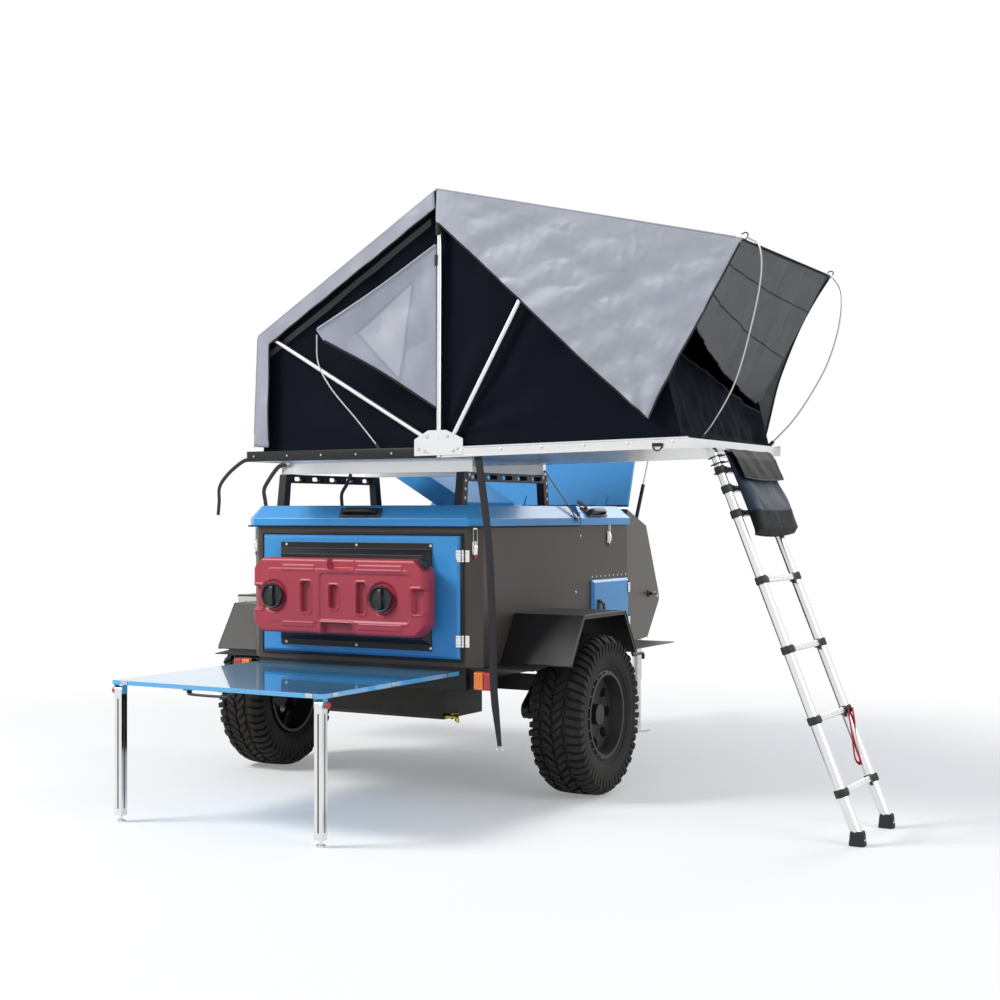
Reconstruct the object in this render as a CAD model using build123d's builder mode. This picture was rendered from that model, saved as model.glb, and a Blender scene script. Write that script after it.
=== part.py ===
from build123d import *
from math import asin, cos, degrees, radians, sin, sqrt
import os

os.makedirs("parts", exist_ok=True)

# Frame: the body's centre plane in X and its rear face in Y, ground at Z = 0
XC = -436.0
YR = -1224.0

# Clearances
SEAT = 0.3
DOOR_GAP = 10.0

# Body box
BODY_HALF = 666.0
WALL = 25.0
BODY_BOTTOM = 662.0
BODY_TOP = 1338.0
CORNER = 63.0
REAR_WRAP = 90.0
BODY_FRONT = 1838.0
FLOOR_T = 22.0

# Nose compartment, side profile and taper
NOSE_TOP_Z = 1425.0
NOSE_KNEE = (2254.0, 1328.0)
NOSE_TIP = (2550.0, 912.0)
NOSE_TIP_LOW = (2550.0, 874.0)
NOSE_UNDER = (2284.0, 668.0)
NOSE_COWL = (1892.0, 1412.4)
NOSE_TIP_HALF = BODY_HALF - 88.0

# Roof lids over the main box: one behind, two gull wings in front, hinged along the middle
LID_HALF = BODY_HALF + 20.0
LID_REAR = -20.0
LID_SEAM = 1150.0
LID_FRONT = 1830.0
LID_GAP = 6.0
LID_LIP = 37.0
LID_RISE = 65.0
LID_BEVEL = 40.0
LID_SKIN = 22.0
LID_WALL = 62.0
WING_HINGE_Z = 1383.0
WING_PIN_R = 5.0
WING_OPEN = 31.0
WING_KNUCKLES = (1260.0, 1490.0, 1720.0)
ROOF_BEAM_H = 40.0
ROOF_BEAM_W = 56.0

# Nose lid, standing open
NLID_HALF = BODY_HALF - 14.0
NLID_TIP_HALF = NOSE_TIP_HALF - 8.0
NLID_T = 22.0
NLID_LIFT = 1.0
NLID_HINGE = (1885.0, 1440.0)
NLID_OPEN = 70.0
NLID_KNUCKLES = (-520.0, 0.0, 520.0)

# Gas strut of the nose lid
STRUT_X = BODY_HALF - 121.0
STRUT_BASE = (2217.0, 1270.0)
STRUT_EYE = (2520.0, 1830.0)
STRUT_R = 11.0
STRUT_LEN = 343.0
STRUT_PIN_R = 9.0
STRUT_PIN_GAP = 0.45
ROD_R = 5.0
ROD_BORE = 5.3
ROD_LEN = 361.0

# Rear door, its bracket and the fluid pack on it
DOOR_L = 103.0 - BODY_HALF
DOOR_R = BODY_HALF - 88.0
DOOR_LOW = 700.0
DOOR_HIGH = 1292.0
DOOR_T = 20.0
DOOR_PIN = (DOOR_R + 14.0, -12.0)
DOOR_HINGES = (788.0, 1196.0)
BRACKET_L = -447.0
BRACKET_R = 430.0
BRACKET_LOW = 735.0
BRACKET_HIGH = 1256.0
BRACKET_T = 6.0
PAN_DEPTH = 40.0
PACK_L = -506.0
PACK_R = 476.0
PACK_LOW = 808.0
PACK_HIGH = 1180.0
PACK_T = 124.0
PACK_CORNER = 60.0
KNOB_R = 64.0
KNOB_T = 26.0
KNOBS = {"knob_left": (-380.0, 990.0), "knob_right": (250.0, 990.0)}

# Side hatch on the right, drawer on the left
HATCH_Y = (1325.0, 1822.0)
HATCH_Z = (735.0, 1037.0)
HATCH_T = 18.0
HATCH_PIN = (BODY_HALF + 14.0, HATCH_Y[1] + 10.0)
HATCH_HINGES = (790.0, 982.0)

# Butt hinges of the door and the hatch
HINGE_LONG = 56.0
HINGE_R = 6.0
HINGE_PIN_R = 3.0
HINGE_EAR = 6.0
LEAF_IN = 14.0
HINGE_GAP = 1.0
DRAWER_Y = (1200.0, 1760.0)
DRAWER_Z = (816.0, 904.0)
DRAWER_OUT = 934.0
DRAWER_IN = 166.0
DRAWER_WALL = 6.0
DRAWER_SLOT = 6.0
RUNNER_GAP = 5.0
RUNNER_LEN = 1076.0
RUNNER_W = 24.0
RUNNER_T = 8.0

# Chassis
RAIL_X = 450.0
RAIL_W = 50.0
RAIL_H = 100.0
RAIL_FRONT = 2230.0
BEAM_HALF = BODY_HALF - CORNER
BEAM_H = 110.0
BEAM_W = 50.0
CROSS_Y = (770.0, 1500.0, 2180.0)
CROSS_H = 60.0
LAMP_PLATE = (150.0, 88.0)
LAMP_PLATE_T = 6.0
LAMP_PLATE_Y = 46.0
BAR_REAR = 2120.0
BAR_FRONT = 3430.0
BAR_TIP_X = 45.0
TIP_PLATE = (150.0, 84.0)
TIP_PLATE_ON = 2.0
EYE_Y = 3590.0
EYE_R = 38.0
EYE_OUT = 66.0
EYE_T = 44.0

# Jack
JACK_X = 230.0
JACK_Y = 3060.0
JACK_R = 30.0
JACK_INNER = 24.0
JACK_TUBE = (330.0, 910.0)
JACK_CRANK_Z = 880.0
CLAMP_HALF = 45.0
CLAMP_Z = (572.0, 652.0)
FOOT_R = 85.0
FOOT_T = 12.0

# Axle and wheels
WHEEL_Y = 648.0
WHEEL_X = 934.0
TYRE_R = 400.0
TYRE_W = 265.0
RIM_R = 232.0
BEAD = 18.0
TREAD_LUGS = 24
TREAD_DEPTH = 15.0
LUG_WIDE = 66.0
RIM_HOLES = 8
RIM_HOLE_R = 26.0
RIM_HOLE_RING = 142.0
CAP_R = 52.0
AXLE_Y = 810.0
AXLE_H = 80.0
AXLE_HALF = 600.0
ARM_T = 40.0
STUB_R = 28.0
HUB_R = 78.0
DISC_X = 30.0

# Water tank
TANK_X = (-400.0, 310.0)
TANK_Y = (300.0, 735.0)
TANK_LOW = 362.0
TANK_BEVEL = 18.0
TAP_R = 9.0
TAP_LONG = 70.0

# Fenders
FEND_OUT = 1040.0
FEND_T = 5.0
FEND_PROFILE = [(60.0, 660.0), (236.0, 672.0), (392.0, 906.0), (908.0, 906.0), (1062.0, 686.0), (1800.0, 686.0)]
FEND_STEP_REAR = 930.0
FEND_STEP_FRONT = 962.0

# Tail lamps
LAMP_X = (652.0, 754.0)
LAMP_Z = (556.0, 650.0)
LAMP_T = 58.0

# Roof rack
HOOP_X = 520.0
HOOP_W = 42.0
HOOP_REAR = 100.0
HOOP_FRONT = 1040.0
HOOP_TOP = 1603.0
HOOP_BAND = 44.0
HOOP_SPLAY = 26.0
CROSSBAR_Y = (150.0, 985.0)
CROSSBAR_W = 34.0
CROSSBAR_HALF = 552.0

# Tent platform
BASE_L = -481.0
HINGE_X = 624.0
BASE_R = 1801.0
BASE_NEAR = -287.0
BASE_FAR = 972.0
BASE_TOP = 1705.0
BASE_BOTTOM = 1660.0
BASE_TILT = 0.99

# Tent frame
POLE_R = 12.0
POLE_NEAR = -274.0
POLE_FAR = 959.0
PIVOT_Z = 1768.0
BOWS = [(525.0, -362.0, 2283.0), (608.0, 612.0, 2887.0), (684.0, 1232.0, 2735.0)]
PLATE_T = 5.0
SPRING_R = 4.0

# Tent cloth
CLOTH = 3.0
WALL_NEAR = -257.0
WALL_FAR = 939.0
RIDGE = (610.0, 2902.0)
EAVE_L = (-400.0, 2276.0)
EAVE_R = (2060.0, 2546.0)
SKIRT_L = (-424.0, 1730.0)
BODY_FOOT_L = -396.0
BODY_FOOT_R = (1775.0, 1725.5)
BODY_HEAD_R = 1556.0
HEAD_DROP = 37.7
LOW_END = (1658.0, 2212.0)
LOW_END_Z = (2190.0, 1890.0)
WINDOW = [(545.0, 2580.0), (30.0, 2262.0), (545.0, 1960.0)]
FLAP_POINT = (1642.0, 1808.0)

# Ladder
LAD_TOP = (1806.0, 1676.0)
LAD_FOOT = (2452.0, 4.0)
LAD_PIVOT = (1808.9, 1668.5)
LAD_NEAR = 54.0
LAD_GAUGE = 480.0
LAD_RUNGS = (0.05, 0.10, 0.165, 0.338, 0.516, 0.694, 0.873)
LAD_R_TOP = 17.0
LAD_R_FOOT = 25.0

# Table
TABLE_HALF = 568.0
TABLE_REAR = -1208.0
TABLE_FRONT = 42.0
TABLE_TOP = 644.0
TABLE_T = 20.0
LEG_W = 41.0
LEG_IN = 6.0
LEG_PIVOT = 596.0
LEG_GAP = 1.0
LEG_PIN_R = 5.0
LUG_T = 4.0

# Webbing straps
STRAP_W = 38.0
STRAP_T = 2.5
STRAP_Y = -276.0
STRAP_LINE = [(812.0, 1662.0), (846.0, 1425.0), (871.0, 1188.0), (886.0, 880.0), (891.0, 597.0), (921.0, 326.0)]


def yz(x):
    """Plane across X: sketch x is forward, sketch y is up."""
    return Plane(origin=(XC + x, YR, 0), x_dir=(0, 1, 0), z_dir=(1, 0, 0))


def xz(y):
    """Plane across Y, looking forward: sketch x is right, sketch y is up, extrusion runs rearward."""
    return Plane(origin=(XC, YR + y, 0), x_dir=(1, 0, 0), z_dir=(0, -1, 0))


def xy(z):
    """Plane at a height: sketch x is right, sketch y is forward."""
    return Plane(origin=(XC, YR, z))


def at(x, y, z):
    """Point given from the body's centre plane and rear face."""
    return (XC + x, YR + y, z)


def rod(a, b):
    """Plane at point a whose normal runs to point b, and the distance between them."""
    d = Vector(*b) - Vector(*a)
    return Plane(origin=a, z_dir=d), d.length


def cut_rectangle(x0, x1, y0, y1, cut):
    """Corners of a rectangle whose two rear corners are cut off by a 45 degree line."""
    if cut:
        return [(x0, y1), (x0, y0 + cut), (x0 + cut, y0), (x1 - cut, y0), (x1, y0 + cut), (x1, y1)]
    return [(x0, y1), (x0, y0), (x1, y0), (x1, y1)]


def offset_line(points, d):
    """Points of an open line moved d to its left."""
    out = []
    for i, p in enumerate(points):
        a = points[max(i - 1, 0)]
        b = points[min(i + 1, len(points) - 1)]
        n1 = Vector(-(p[1] - a[1]), p[0] - a[0]) if i else None
        n2 = Vector(-(b[1] - p[1]), b[0] - p[0]) if i < len(points) - 1 else None
        n1 = n1.normalized() if n1 is not None else n2.normalized()
        n2 = n2.normalized() if n2 is not None else n1
        m = (n1 + n2).normalized()
        s = d / max(m.dot(n1), 0.3)
        out.append((p[0] + m.X * s, p[1] + m.Y * s))
    return out


pieces = []

# Chassis frame: two rails, rear beam, cross members and the A-shaped drawbar
rail_low = BODY_BOTTOM - RAIL_H
with BuildPart() as chassis_frame:
    with BuildSketch(xy(rail_low)):
        with Locations((-RAIL_X, RAIL_FRONT / 2), (RAIL_X, RAIL_FRONT / 2)):
            Rectangle(RAIL_W, RAIL_FRONT)
        for side in (-1, 1):
            Polygon((side * (RAIL_X - RAIL_W / 2), BAR_REAR), (side * (RAIL_X + RAIL_W / 2), BAR_REAR),
                    (side * (BAR_TIP_X + RAIL_W / 2), BAR_FRONT), (side * (BAR_TIP_X - RAIL_W / 2), BAR_FRONT),
                    align=None)
        with Locations((0, BAR_FRONT + TIP_PLATE[1] / 2 - TIP_PLATE_ON)):
            Rectangle(*TIP_PLATE)
    extrude(amount=RAIL_H)
    with BuildSketch(xy(BODY_BOTTOM - BEAM_H)):
        with Locations((0, BEAM_W / 2)):
            Rectangle(2 * BEAM_HALF, BEAM_W)
    extrude(amount=BEAM_H)
    with BuildSketch(xy(BODY_BOTTOM - CROSS_H)):
        with Locations(*[(0, y) for y in CROSS_Y]):
            Rectangle(2 * RAIL_X, RAIL_W)
    extrude(amount=CROSS_H)
    with BuildSketch(xz(LAMP_PLATE_Y)):
        for side in (-1, 1):
            with Locations((side * (BEAM_HALF + 62), (LAMP_Z[0] + LAMP_Z[1]) / 2 - 1)):
                Rectangle(*LAMP_PLATE)
    extrude(amount=LAMP_PLATE_T)
chassis_frame.part.label = "chassis_frame"
pieces.append(chassis_frame)

# Towing eye on the tip of the drawbar
eye_z = BODY_BOTTOM - RAIL_H / 2
bar_end = BAR_FRONT + TIP_PLATE[1] - TIP_PLATE_ON
with BuildPart() as tow_eye:
    with BuildSketch(xy(eye_z - EYE_T / 2)):
        with Locations((0, EYE_Y)):
            Circle(EYE_OUT)
        with Locations((0, (EYE_Y + bar_end) / 2 - 20)):
            Rectangle(70, EYE_Y - bar_end - 40)
        with Locations((0, EYE_Y)):
            Circle(EYE_R, mode=Mode.SUBTRACT)
    extrude(amount=EYE_T)
    with BuildSketch(xz(BAR_FRONT + TIP_PLATE[1] - TIP_PLATE_ON + SEAT)):
        with Locations((0, eye_z)):
            Rectangle(140, RAIL_H)
    extrude(amount=-12)
tow_eye.part.label = "tow_eye"
pieces.append(tow_eye)

# Jack clamped to the drawbar, its inner leg wound down to the ground
bar_slope = (RAIL_X - BAR_TIP_X) / (BAR_FRONT - BAR_REAR)
bar_edge = RAIL_X + RAIL_W / 2 + SEAT
clamp_near = bar_edge - (JACK_Y - CLAMP_HALF - BAR_REAR) * bar_slope
clamp_far = bar_edge - (JACK_Y + CLAMP_HALF - BAR_REAR) * bar_slope
with BuildPart() as jack:
    with BuildSketch(xy(0)):
        with Locations((JACK_X, JACK_Y)):
            Circle(FOOT_R)
    extrude(amount=FOOT_T)
    with BuildSketch(xy(FOOT_T)):
        with Locations((JACK_X, JACK_Y)):
            Circle(JACK_INNER)
    extrude(amount=400)
    with BuildSketch(xy(JACK_TUBE[0])):
        with Locations((JACK_X, JACK_Y)):
            Circle(JACK_R)
    extrude(amount=JACK_TUBE[1] - JACK_TUBE[0])
    with BuildSketch(xy(CLAMP_Z[0])):
        Polygon((clamp_near, JACK_Y - CLAMP_HALF), (JACK_X, JACK_Y - CLAMP_HALF), (JACK_X, JACK_Y + CLAMP_HALF),
                (clamp_far, JACK_Y + CLAMP_HALF), align=None)
    extrude(amount=CLAMP_Z[1] - CLAMP_Z[0])
    with BuildSketch(yz(JACK_X)):
        with Locations((JACK_Y, JACK_CRANK_Z)):
            Circle(9)
    extrude(amount=JACK_R + 50)
    with BuildSketch(yz(JACK_X + JACK_R + 46)):
        with Locations((JACK_Y - 60, JACK_CRANK_Z)):
            Rectangle(150, 20)
    extrude(amount=8)
    with BuildSketch(yz(JACK_X + JACK_R + 46)):
        with Locations((JACK_Y - 122, JACK_CRANK_Z)):
            Circle(9)
    extrude(amount=90)
jack.part.label = "jack"
pieces.append(jack)

# Axle beam under the rails
with BuildPart() as axle_beam:
    with BuildSketch(yz(-AXLE_HALF)):
        with Locations((AXLE_Y, rail_low - AXLE_H / 2)):
            Rectangle(AXLE_H, AXLE_H)
    extrude(amount=2 * AXLE_HALF)
axle_beam.part.label = "axle_beam"
pieces.append(axle_beam)

# Trailing arms with stub axle and hub
axle_z = rail_low - AXLE_H / 2
disc_face = WHEEL_X + DISC_X
for side, name in ((-1, "arm_left"), (1, "arm_right")):
    with BuildPart() as arm:
        with BuildSketch(yz(side * (AXLE_HALF + SEAT))):
            with Locations((AXLE_Y, axle_z)):
                Circle(46)
            with Locations((WHEEL_Y, TYRE_R)):
                Circle(46)
            Polygon((AXLE_Y - 28, axle_z + 36), (AXLE_Y + 28, axle_z - 36),
                    (WHEEL_Y + 28, TYRE_R - 36), (WHEEL_Y - 28, TYRE_R + 36), align=None)
        extrude(amount=side * ARM_T)
        with BuildSketch(yz(side * (AXLE_HALF + ARM_T))):
            with Locations((WHEEL_Y, TYRE_R)):
                Circle(STUB_R)
        extrude(amount=side * (disc_face - 40 - AXLE_HALF - ARM_T))
        with BuildSketch(yz(side * (disc_face - 60))):
            with Locations((WHEEL_Y, TYRE_R)):
                Circle(HUB_R)
        extrude(amount=side * (60 - SEAT))
    arm.part.label = name
    pieces.append(arm)

# Wheels: tyre and rim turned about the stub axle
for side, suffix in ((-1, "left"), (1, "right")):
    centre = at(side * WHEEL_X, WHEEL_Y, TYRE_R)
    half = TYRE_W / 2
    root = TYRE_R - TREAD_DEPTH
    lug_top = sqrt(TYRE_R ** 2 - (LUG_WIDE / 2) ** 2)
    lug_turn = degrees(asin(LUG_WIDE / 2 / TYRE_R))
    with BuildPart() as tyre:
        with BuildSketch(Plane(origin=centre, x_dir=(side, 0, 0), z_dir=(0, -side, 0))):
            Polygon((-half + 26, RIM_R - BEAD), (-half, RIM_R + 62), (-half + 8, root - 34), (-half + 30, root - 6),
                    (half - 30, root - 6), (half - 8, root - 34), (half, RIM_R + 62), (half - 26, RIM_R - BEAD),
                    align=None)
        revolve(axis=Axis(centre, (1, 0, 0)))
        for row in (-1, 1):
            start = Vector(*centre) + Vector(side * (row * (half - 14) if row < 0 else 0), 0, 0)
            with BuildSketch(Plane(origin=start, x_dir=(0, 0, -1), z_dir=(side, 0, 0))):
                RegularPolygon(root, 2 * TREAD_LUGS)
                stagger = lug_turn + (0 if row < 0 else 180 / TREAD_LUGS)
                with PolarLocations((lug_top + root) / 2 - 4, TREAD_LUGS, start_angle=stagger):
                    Rectangle(lug_top - root + 8, LUG_WIDE)
            extrude(amount=half - 14)
        with BuildSketch(Plane(origin=centre, x_dir=(0, 1, 0), z_dir=(side, 0, 0))):
            Circle(RIM_R - BEAD)
        extrude(amount=half, both=True, mode=Mode.SUBTRACT)
    tyre.part.label = "tyre_" + suffix
    pieces.append(tyre)
    with BuildPart() as rim:
        with BuildSketch(Plane(origin=centre, x_dir=(side, 0, 0), z_dir=(0, -side, 0))):
            Polygon((-half + 14, RIM_R - 19), (-half + 14, RIM_R - 34), (DISC_X, RIM_R - 48), (DISC_X, 0),
                    (DISC_X + 16, 0), (DISC_X + 16, 120), (DISC_X + 30, RIM_R - 50), (half - 14, RIM_R - 34),
                    (half - 14, RIM_R - 19), align=None)
        revolve(axis=Axis(centre, (1, 0, 0)))
        with BuildSketch(Plane(origin=centre, x_dir=(0, 1, 0), z_dir=(side, 0, 0))):
            with PolarLocations(RIM_HOLE_RING, RIM_HOLES):
                Circle(RIM_HOLE_R)
        extrude(amount=100, mode=Mode.SUBTRACT)
        with BuildSketch(Plane(origin=at(side * (WHEEL_X + DISC_X + 16), WHEEL_Y, TYRE_R), x_dir=(0, 1, 0),
                               z_dir=(side, 0, 0))):
            Circle(CAP_R)
        extrude(amount=34)
    rim.part.label = "rim_" + suffix
    pieces.append(rim)

# Water tank between the rails, with its tap
with BuildPart() as water_tank:
    with BuildSketch(yz(TANK_X[0])):
        Polygon((TANK_Y[0] + TANK_BEVEL, TANK_LOW), (TANK_Y[1], TANK_LOW), (TANK_Y[1], BODY_BOTTOM - SEAT),
                (TANK_Y[0], BODY_BOTTOM - SEAT), (TANK_Y[0], TANK_LOW + TANK_BEVEL), align=None)
    extrude(amount=TANK_X[1] - TANK_X[0])
    with BuildSketch(yz(TANK_X[1])):
        with Locations((TANK_Y[0] + 40, TANK_LOW + 22)):
            Circle(TAP_R)
    extrude(amount=TAP_LONG)
    with BuildSketch(xy(TANK_LOW - 6)):
        with Locations((TANK_X[1] + 60, TANK_Y[0] + 40)):
            Circle(8)
    extrude(amount=52)
water_tank.part.label = "water_tank"
pieces.append(water_tank)

# Body floor
k = WALL * (sqrt(2) - 1)  # how far the inner corner of the 45 degree facet moves along the wall
with BuildPart() as body_floor:
    with BuildSketch(xy(BODY_BOTTOM)):
        Polygon((-BODY_HALF + WALL, CORNER + k), (-BODY_HALF + WALL, BODY_FRONT), (BODY_HALF - WALL, BODY_FRONT),
                (BODY_HALF - WALL, CORNER + k), (BODY_HALF - CORNER - k, WALL), (-BODY_HALF + CORNER + k, WALL),
                align=None)
    extrude(amount=FLOOR_T)
body_floor.part.label = "body_floor"
pieces.append(body_floor)

# Rear wall with the two corner facets and the door opening
with BuildPart() as wall_rear:
    with BuildSketch(xy(BODY_BOTTOM)):
        outer = [(-BODY_HALF, REAR_WRAP), (-BODY_HALF, CORNER), (-BODY_HALF + CORNER, 0), (BODY_HALF - CORNER, 0),
                 (BODY_HALF, CORNER), (BODY_HALF, REAR_WRAP)]
        inner = [(BODY_HALF - WALL, REAR_WRAP), (BODY_HALF - WALL, CORNER + k), (BODY_HALF - CORNER - k, WALL),
                 (-BODY_HALF + CORNER + k, WALL), (-BODY_HALF + WALL, CORNER + k), (-BODY_HALF + WALL, REAR_WRAP)]
        Polygon(*outer, *inner, align=None)
    extrude(amount=BODY_TOP - BODY_BOTTOM)
    with BuildSketch(xz(WALL)):
        with Locations(((DOOR_L + DOOR_R) / 2, (DOOR_LOW + DOOR_HIGH) / 2)):
            Rectangle(DOOR_R - DOOR_L - 2 * DOOR_GAP, DOOR_HIGH - DOOR_LOW - 2 * DOOR_GAP)
    extrude(amount=WALL, mode=Mode.SUBTRACT)
    for z in DOOR_HINGES:
        for end in (-HINGE_LONG / 2 - HINGE_GAP - HINGE_EAR, HINGE_LONG / 2 + HINGE_GAP):
            with BuildSketch(xy(z + end)):
                Polygon((DOOR_PIN[0] - HINGE_PIN_R, 0), (DOOR_PIN[0] - HINGE_PIN_R, DOOR_PIN[1] - HINGE_PIN_R),
                        (DOOR_PIN[0] + HINGE_PIN_R, DOOR_PIN[1] - HINGE_PIN_R), (DOOR_PIN[0] + HINGE_PIN_R, 0),
                        align=None)
            extrude(amount=HINGE_EAR)
        with BuildSketch(xy(z - HINGE_LONG / 2 - HINGE_GAP)):
            with Locations(DOOR_PIN):
                Circle(HINGE_PIN_R)
        extrude(amount=HINGE_LONG + 2 * HINGE_GAP)
wall_rear.part.label = "wall_rear"
pieces.append(wall_rear)

# Side walls with the hatch opening on the right and the drawer opening on the left
for side, name, span_y, span_z in ((-1, "wall_left", DRAWER_Y, DRAWER_Z), (1, "wall_right", HATCH_Y, HATCH_Z)):
    cut = -DRAWER_SLOT if side < 0 else DOOR_GAP
    with BuildPart() as wall:
        with BuildSketch(yz(side * (BODY_HALF - WALL))):
            Polygon((REAR_WRAP, BODY_BOTTOM), (BODY_FRONT, BODY_BOTTOM), (BODY_FRONT, BODY_TOP),
                    (REAR_WRAP, BODY_TOP), align=None)
            with Locations(((span_y[0] + span_y[1]) / 2, (span_z[0] + span_z[1]) / 2)):
                Rectangle(span_y[1] - span_y[0] - 2 * cut, span_z[1] - span_z[0] - 2 * cut, mode=Mode.SUBTRACT)
        extrude(amount=side * WALL)
        for z in HATCH_HINGES if side > 0 else ():
            for end in (-HINGE_LONG / 2 - HINGE_GAP - HINGE_EAR, HINGE_LONG / 2 + HINGE_GAP):
                with BuildSketch(xy(z + end)):
                    Polygon((BODY_HALF, HATCH_PIN[1] - HINGE_PIN_R), (HATCH_PIN[0] + HINGE_PIN_R, HATCH_PIN[1] - HINGE_PIN_R),
                            (HATCH_PIN[0] + HINGE_PIN_R, HATCH_PIN[1] + HINGE_PIN_R),
                            (BODY_HALF, HATCH_PIN[1] + HINGE_PIN_R), align=None)
                extrude(amount=HINGE_EAR)
            with BuildSketch(xy(z - HINGE_LONG / 2 - HINGE_GAP)):
                with Locations(HATCH_PIN):
                    Circle(HINGE_PIN_R)
            extrude(amount=HINGE_LONG + 2 * HINGE_GAP)
    wall.part.label = name
    pieces.append(wall)

# Nose compartment: bulkhead, tapered cheeks, cowl strip and undercut floor, open at its lid
nose_slope = (BODY_HALF - NOSE_TIP_HALF) / (NOSE_TIP[0] - BODY_FRONT)
past = NOSE_TIP[0] + 150
with BuildPart() as nose_space:
    with BuildSketch(yz(-700)):
        Polygon((BODY_FRONT + WALL, BODY_BOTTOM + FLOOR_T), (NOSE_UNDER[0] - 12, NOSE_UNDER[1] + FLOOR_T),
                (NOSE_TIP_LOW[0] - 20, NOSE_TIP_LOW[1] + 16), (past, NOSE_TIP_LOW[1] + 16), (past, 1600),
                (NOSE_COWL[0], 1600), (NOSE_COWL[0], NOSE_COWL[1] - WALL), (BODY_FRONT + WALL, NOSE_COWL[1] - WALL),
                align=None)
    extrude(amount=1400)
    with BuildSketch(xy(600)):
        wide = BODY_HALF - WALL - nose_slope * WALL
        slim = BODY_HALF - WALL - nose_slope * (past + 50 - BODY_FRONT)
        Polygon((-wide, BODY_FRONT + WALL), (-slim, past + 50), (slim, past + 50), (wide, BODY_FRONT + WALL),
                align=None)
    extrude(amount=1100, mode=Mode.INTERSECT)
with BuildPart() as nose_shell:
    with BuildSketch(xy(BODY_BOTTOM - 20)):
        Polygon((-BODY_HALF, BODY_FRONT), (-NOSE_TIP_HALF, NOSE_TIP[0]), (NOSE_TIP_HALF, NOSE_TIP[0]),
                (BODY_HALF, BODY_FRONT), align=None)
    extrude(amount=900)
    with BuildSketch(yz(-700)):
        Polygon((BODY_FRONT, BODY_BOTTOM), (BODY_FRONT, NOSE_TOP_Z), NOSE_KNEE, NOSE_TIP, NOSE_TIP_LOW, NOSE_UNDER,
                align=None)
    extrude(amount=1400, mode=Mode.INTERSECT)
    add(nose_space.part, mode=Mode.SUBTRACT)
    for x in NLID_KNUCKLES:
        with BuildSketch(yz(x)):
            Polygon((NLID_HINGE[0] - 34, 1412), (NLID_HINGE[0] - 10, NLID_HINGE[1] + 8),
                    (NLID_HINGE[0] + 8, NLID_HINGE[1] + 8), (NLID_HINGE[0] + 4, 1400), align=None)
        extrude(amount=56)
        with BuildSketch(yz(x - 68)):
            with Locations(NLID_HINGE):
                Circle(4)
        extrude(amount=72)
nose_shell.part.label = "nose_shell"
pieces.append(nose_shell)

# Roof frame: cross beam, middle beam and the hinge strip of the gull wings
lid_top = BODY_TOP + LID_LIP + LID_RISE
with BuildPart() as roof_frame:
    with BuildSketch(xy(BODY_TOP - ROOF_BEAM_H)):
        with Locations((0, LID_SEAM)):
            Rectangle(2 * (BODY_HALF - WALL - SEAT), ROOF_BEAM_W)
        with Locations((0, (LID_SEAM + BODY_FRONT - SEAT) / 2)):
            Rectangle(ROOF_BEAM_W, BODY_FRONT - SEAT - LID_SEAM)
    extrude(amount=ROOF_BEAM_H - SEAT)
    with BuildSketch(xy(BODY_TOP - ROOF_BEAM_H / 2)):
        with Locations((0, (LID_SEAM + 40 + LID_FRONT - 20) / 2)):
            Rectangle(5, LID_FRONT - 20 - LID_SEAM - 40)
    extrude(amount=WING_HINGE_Z - BODY_TOP + ROOF_BEAM_H / 2)
    with BuildSketch(xz(LID_FRONT - 20)):
        with Locations((0, WING_HINGE_Z)):
            Circle(WING_PIN_R)
    extrude(amount=LID_FRONT - 20 - LID_SEAM - 40)
roof_frame.part.label = "roof_frame"
pieces.append(roof_frame)

# Roof lids: vertical lip, bevel and flat top, open below; the left wing stands open
LIDS = [
    {"name": "lid_rear", "x": (-LID_HALF, LID_HALF), "y": (LID_REAR, LID_SEAM - LID_GAP / 2), "corner": CORNER,
     "turn": 0.0, "side": 0},
    {"name": "lid_left", "x": (-LID_HALF, -LID_GAP), "y": (LID_SEAM + LID_GAP / 2, LID_FRONT), "corner": 0.0,
     "turn": WING_OPEN, "side": -1},
    {"name": "lid_right", "x": (LID_GAP, LID_HALF), "y": (LID_SEAM + LID_GAP / 2, LID_FRONT), "corner": 0.0,
     "turn": 0.0, "side": 1},
]
for row in LIDS:
    x0, x1 = row["x"]
    y0, y1 = row["y"]
    plan = cut_rectangle(x0, x1, y0, y1, row["corner"])
    with BuildPart() as lid:
        with BuildSketch(xy(BODY_TOP)):
            Polygon(*plan, align=None)
        extrude(amount=LID_LIP)
        with BuildSketch(xy(BODY_TOP + LID_LIP)):
            Polygon(*plan, align=None)
        extrude(amount=LID_RISE, taper=LID_BEVEL)
        with BuildSketch(xy(BODY_TOP)):
            Polygon(*cut_rectangle(x0 + LID_WALL, x1 - LID_WALL, y0 + LID_WALL, y1 - LID_WALL, row["corner"] / 2),
                    align=None)
        extrude(amount=LID_LIP + LID_RISE - LID_SKIN, mode=Mode.SUBTRACT)
        if row["side"]:
            near = row["side"] * (WING_PIN_R + SEAT)
            far = row["side"] * 18
            for y in WING_KNUCKLES:
                with BuildSketch(xz(y + 30)):
                    Polygon((near, WING_HINGE_Z - 17), (near, WING_HINGE_Z + 3), (far, WING_HINGE_Z + 3),
                            (far, WING_HINGE_Z - 17), align=None)
                extrude(amount=60)
    pivot = Location(at(0, 0, WING_HINGE_Z))
    lid.part = lid.part.moved(pivot * Location((0, 0, 0), (0, row["turn"], 0)) * pivot.inverse())
    lid.part.label = row["name"]
    pieces.append(lid)

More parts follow.
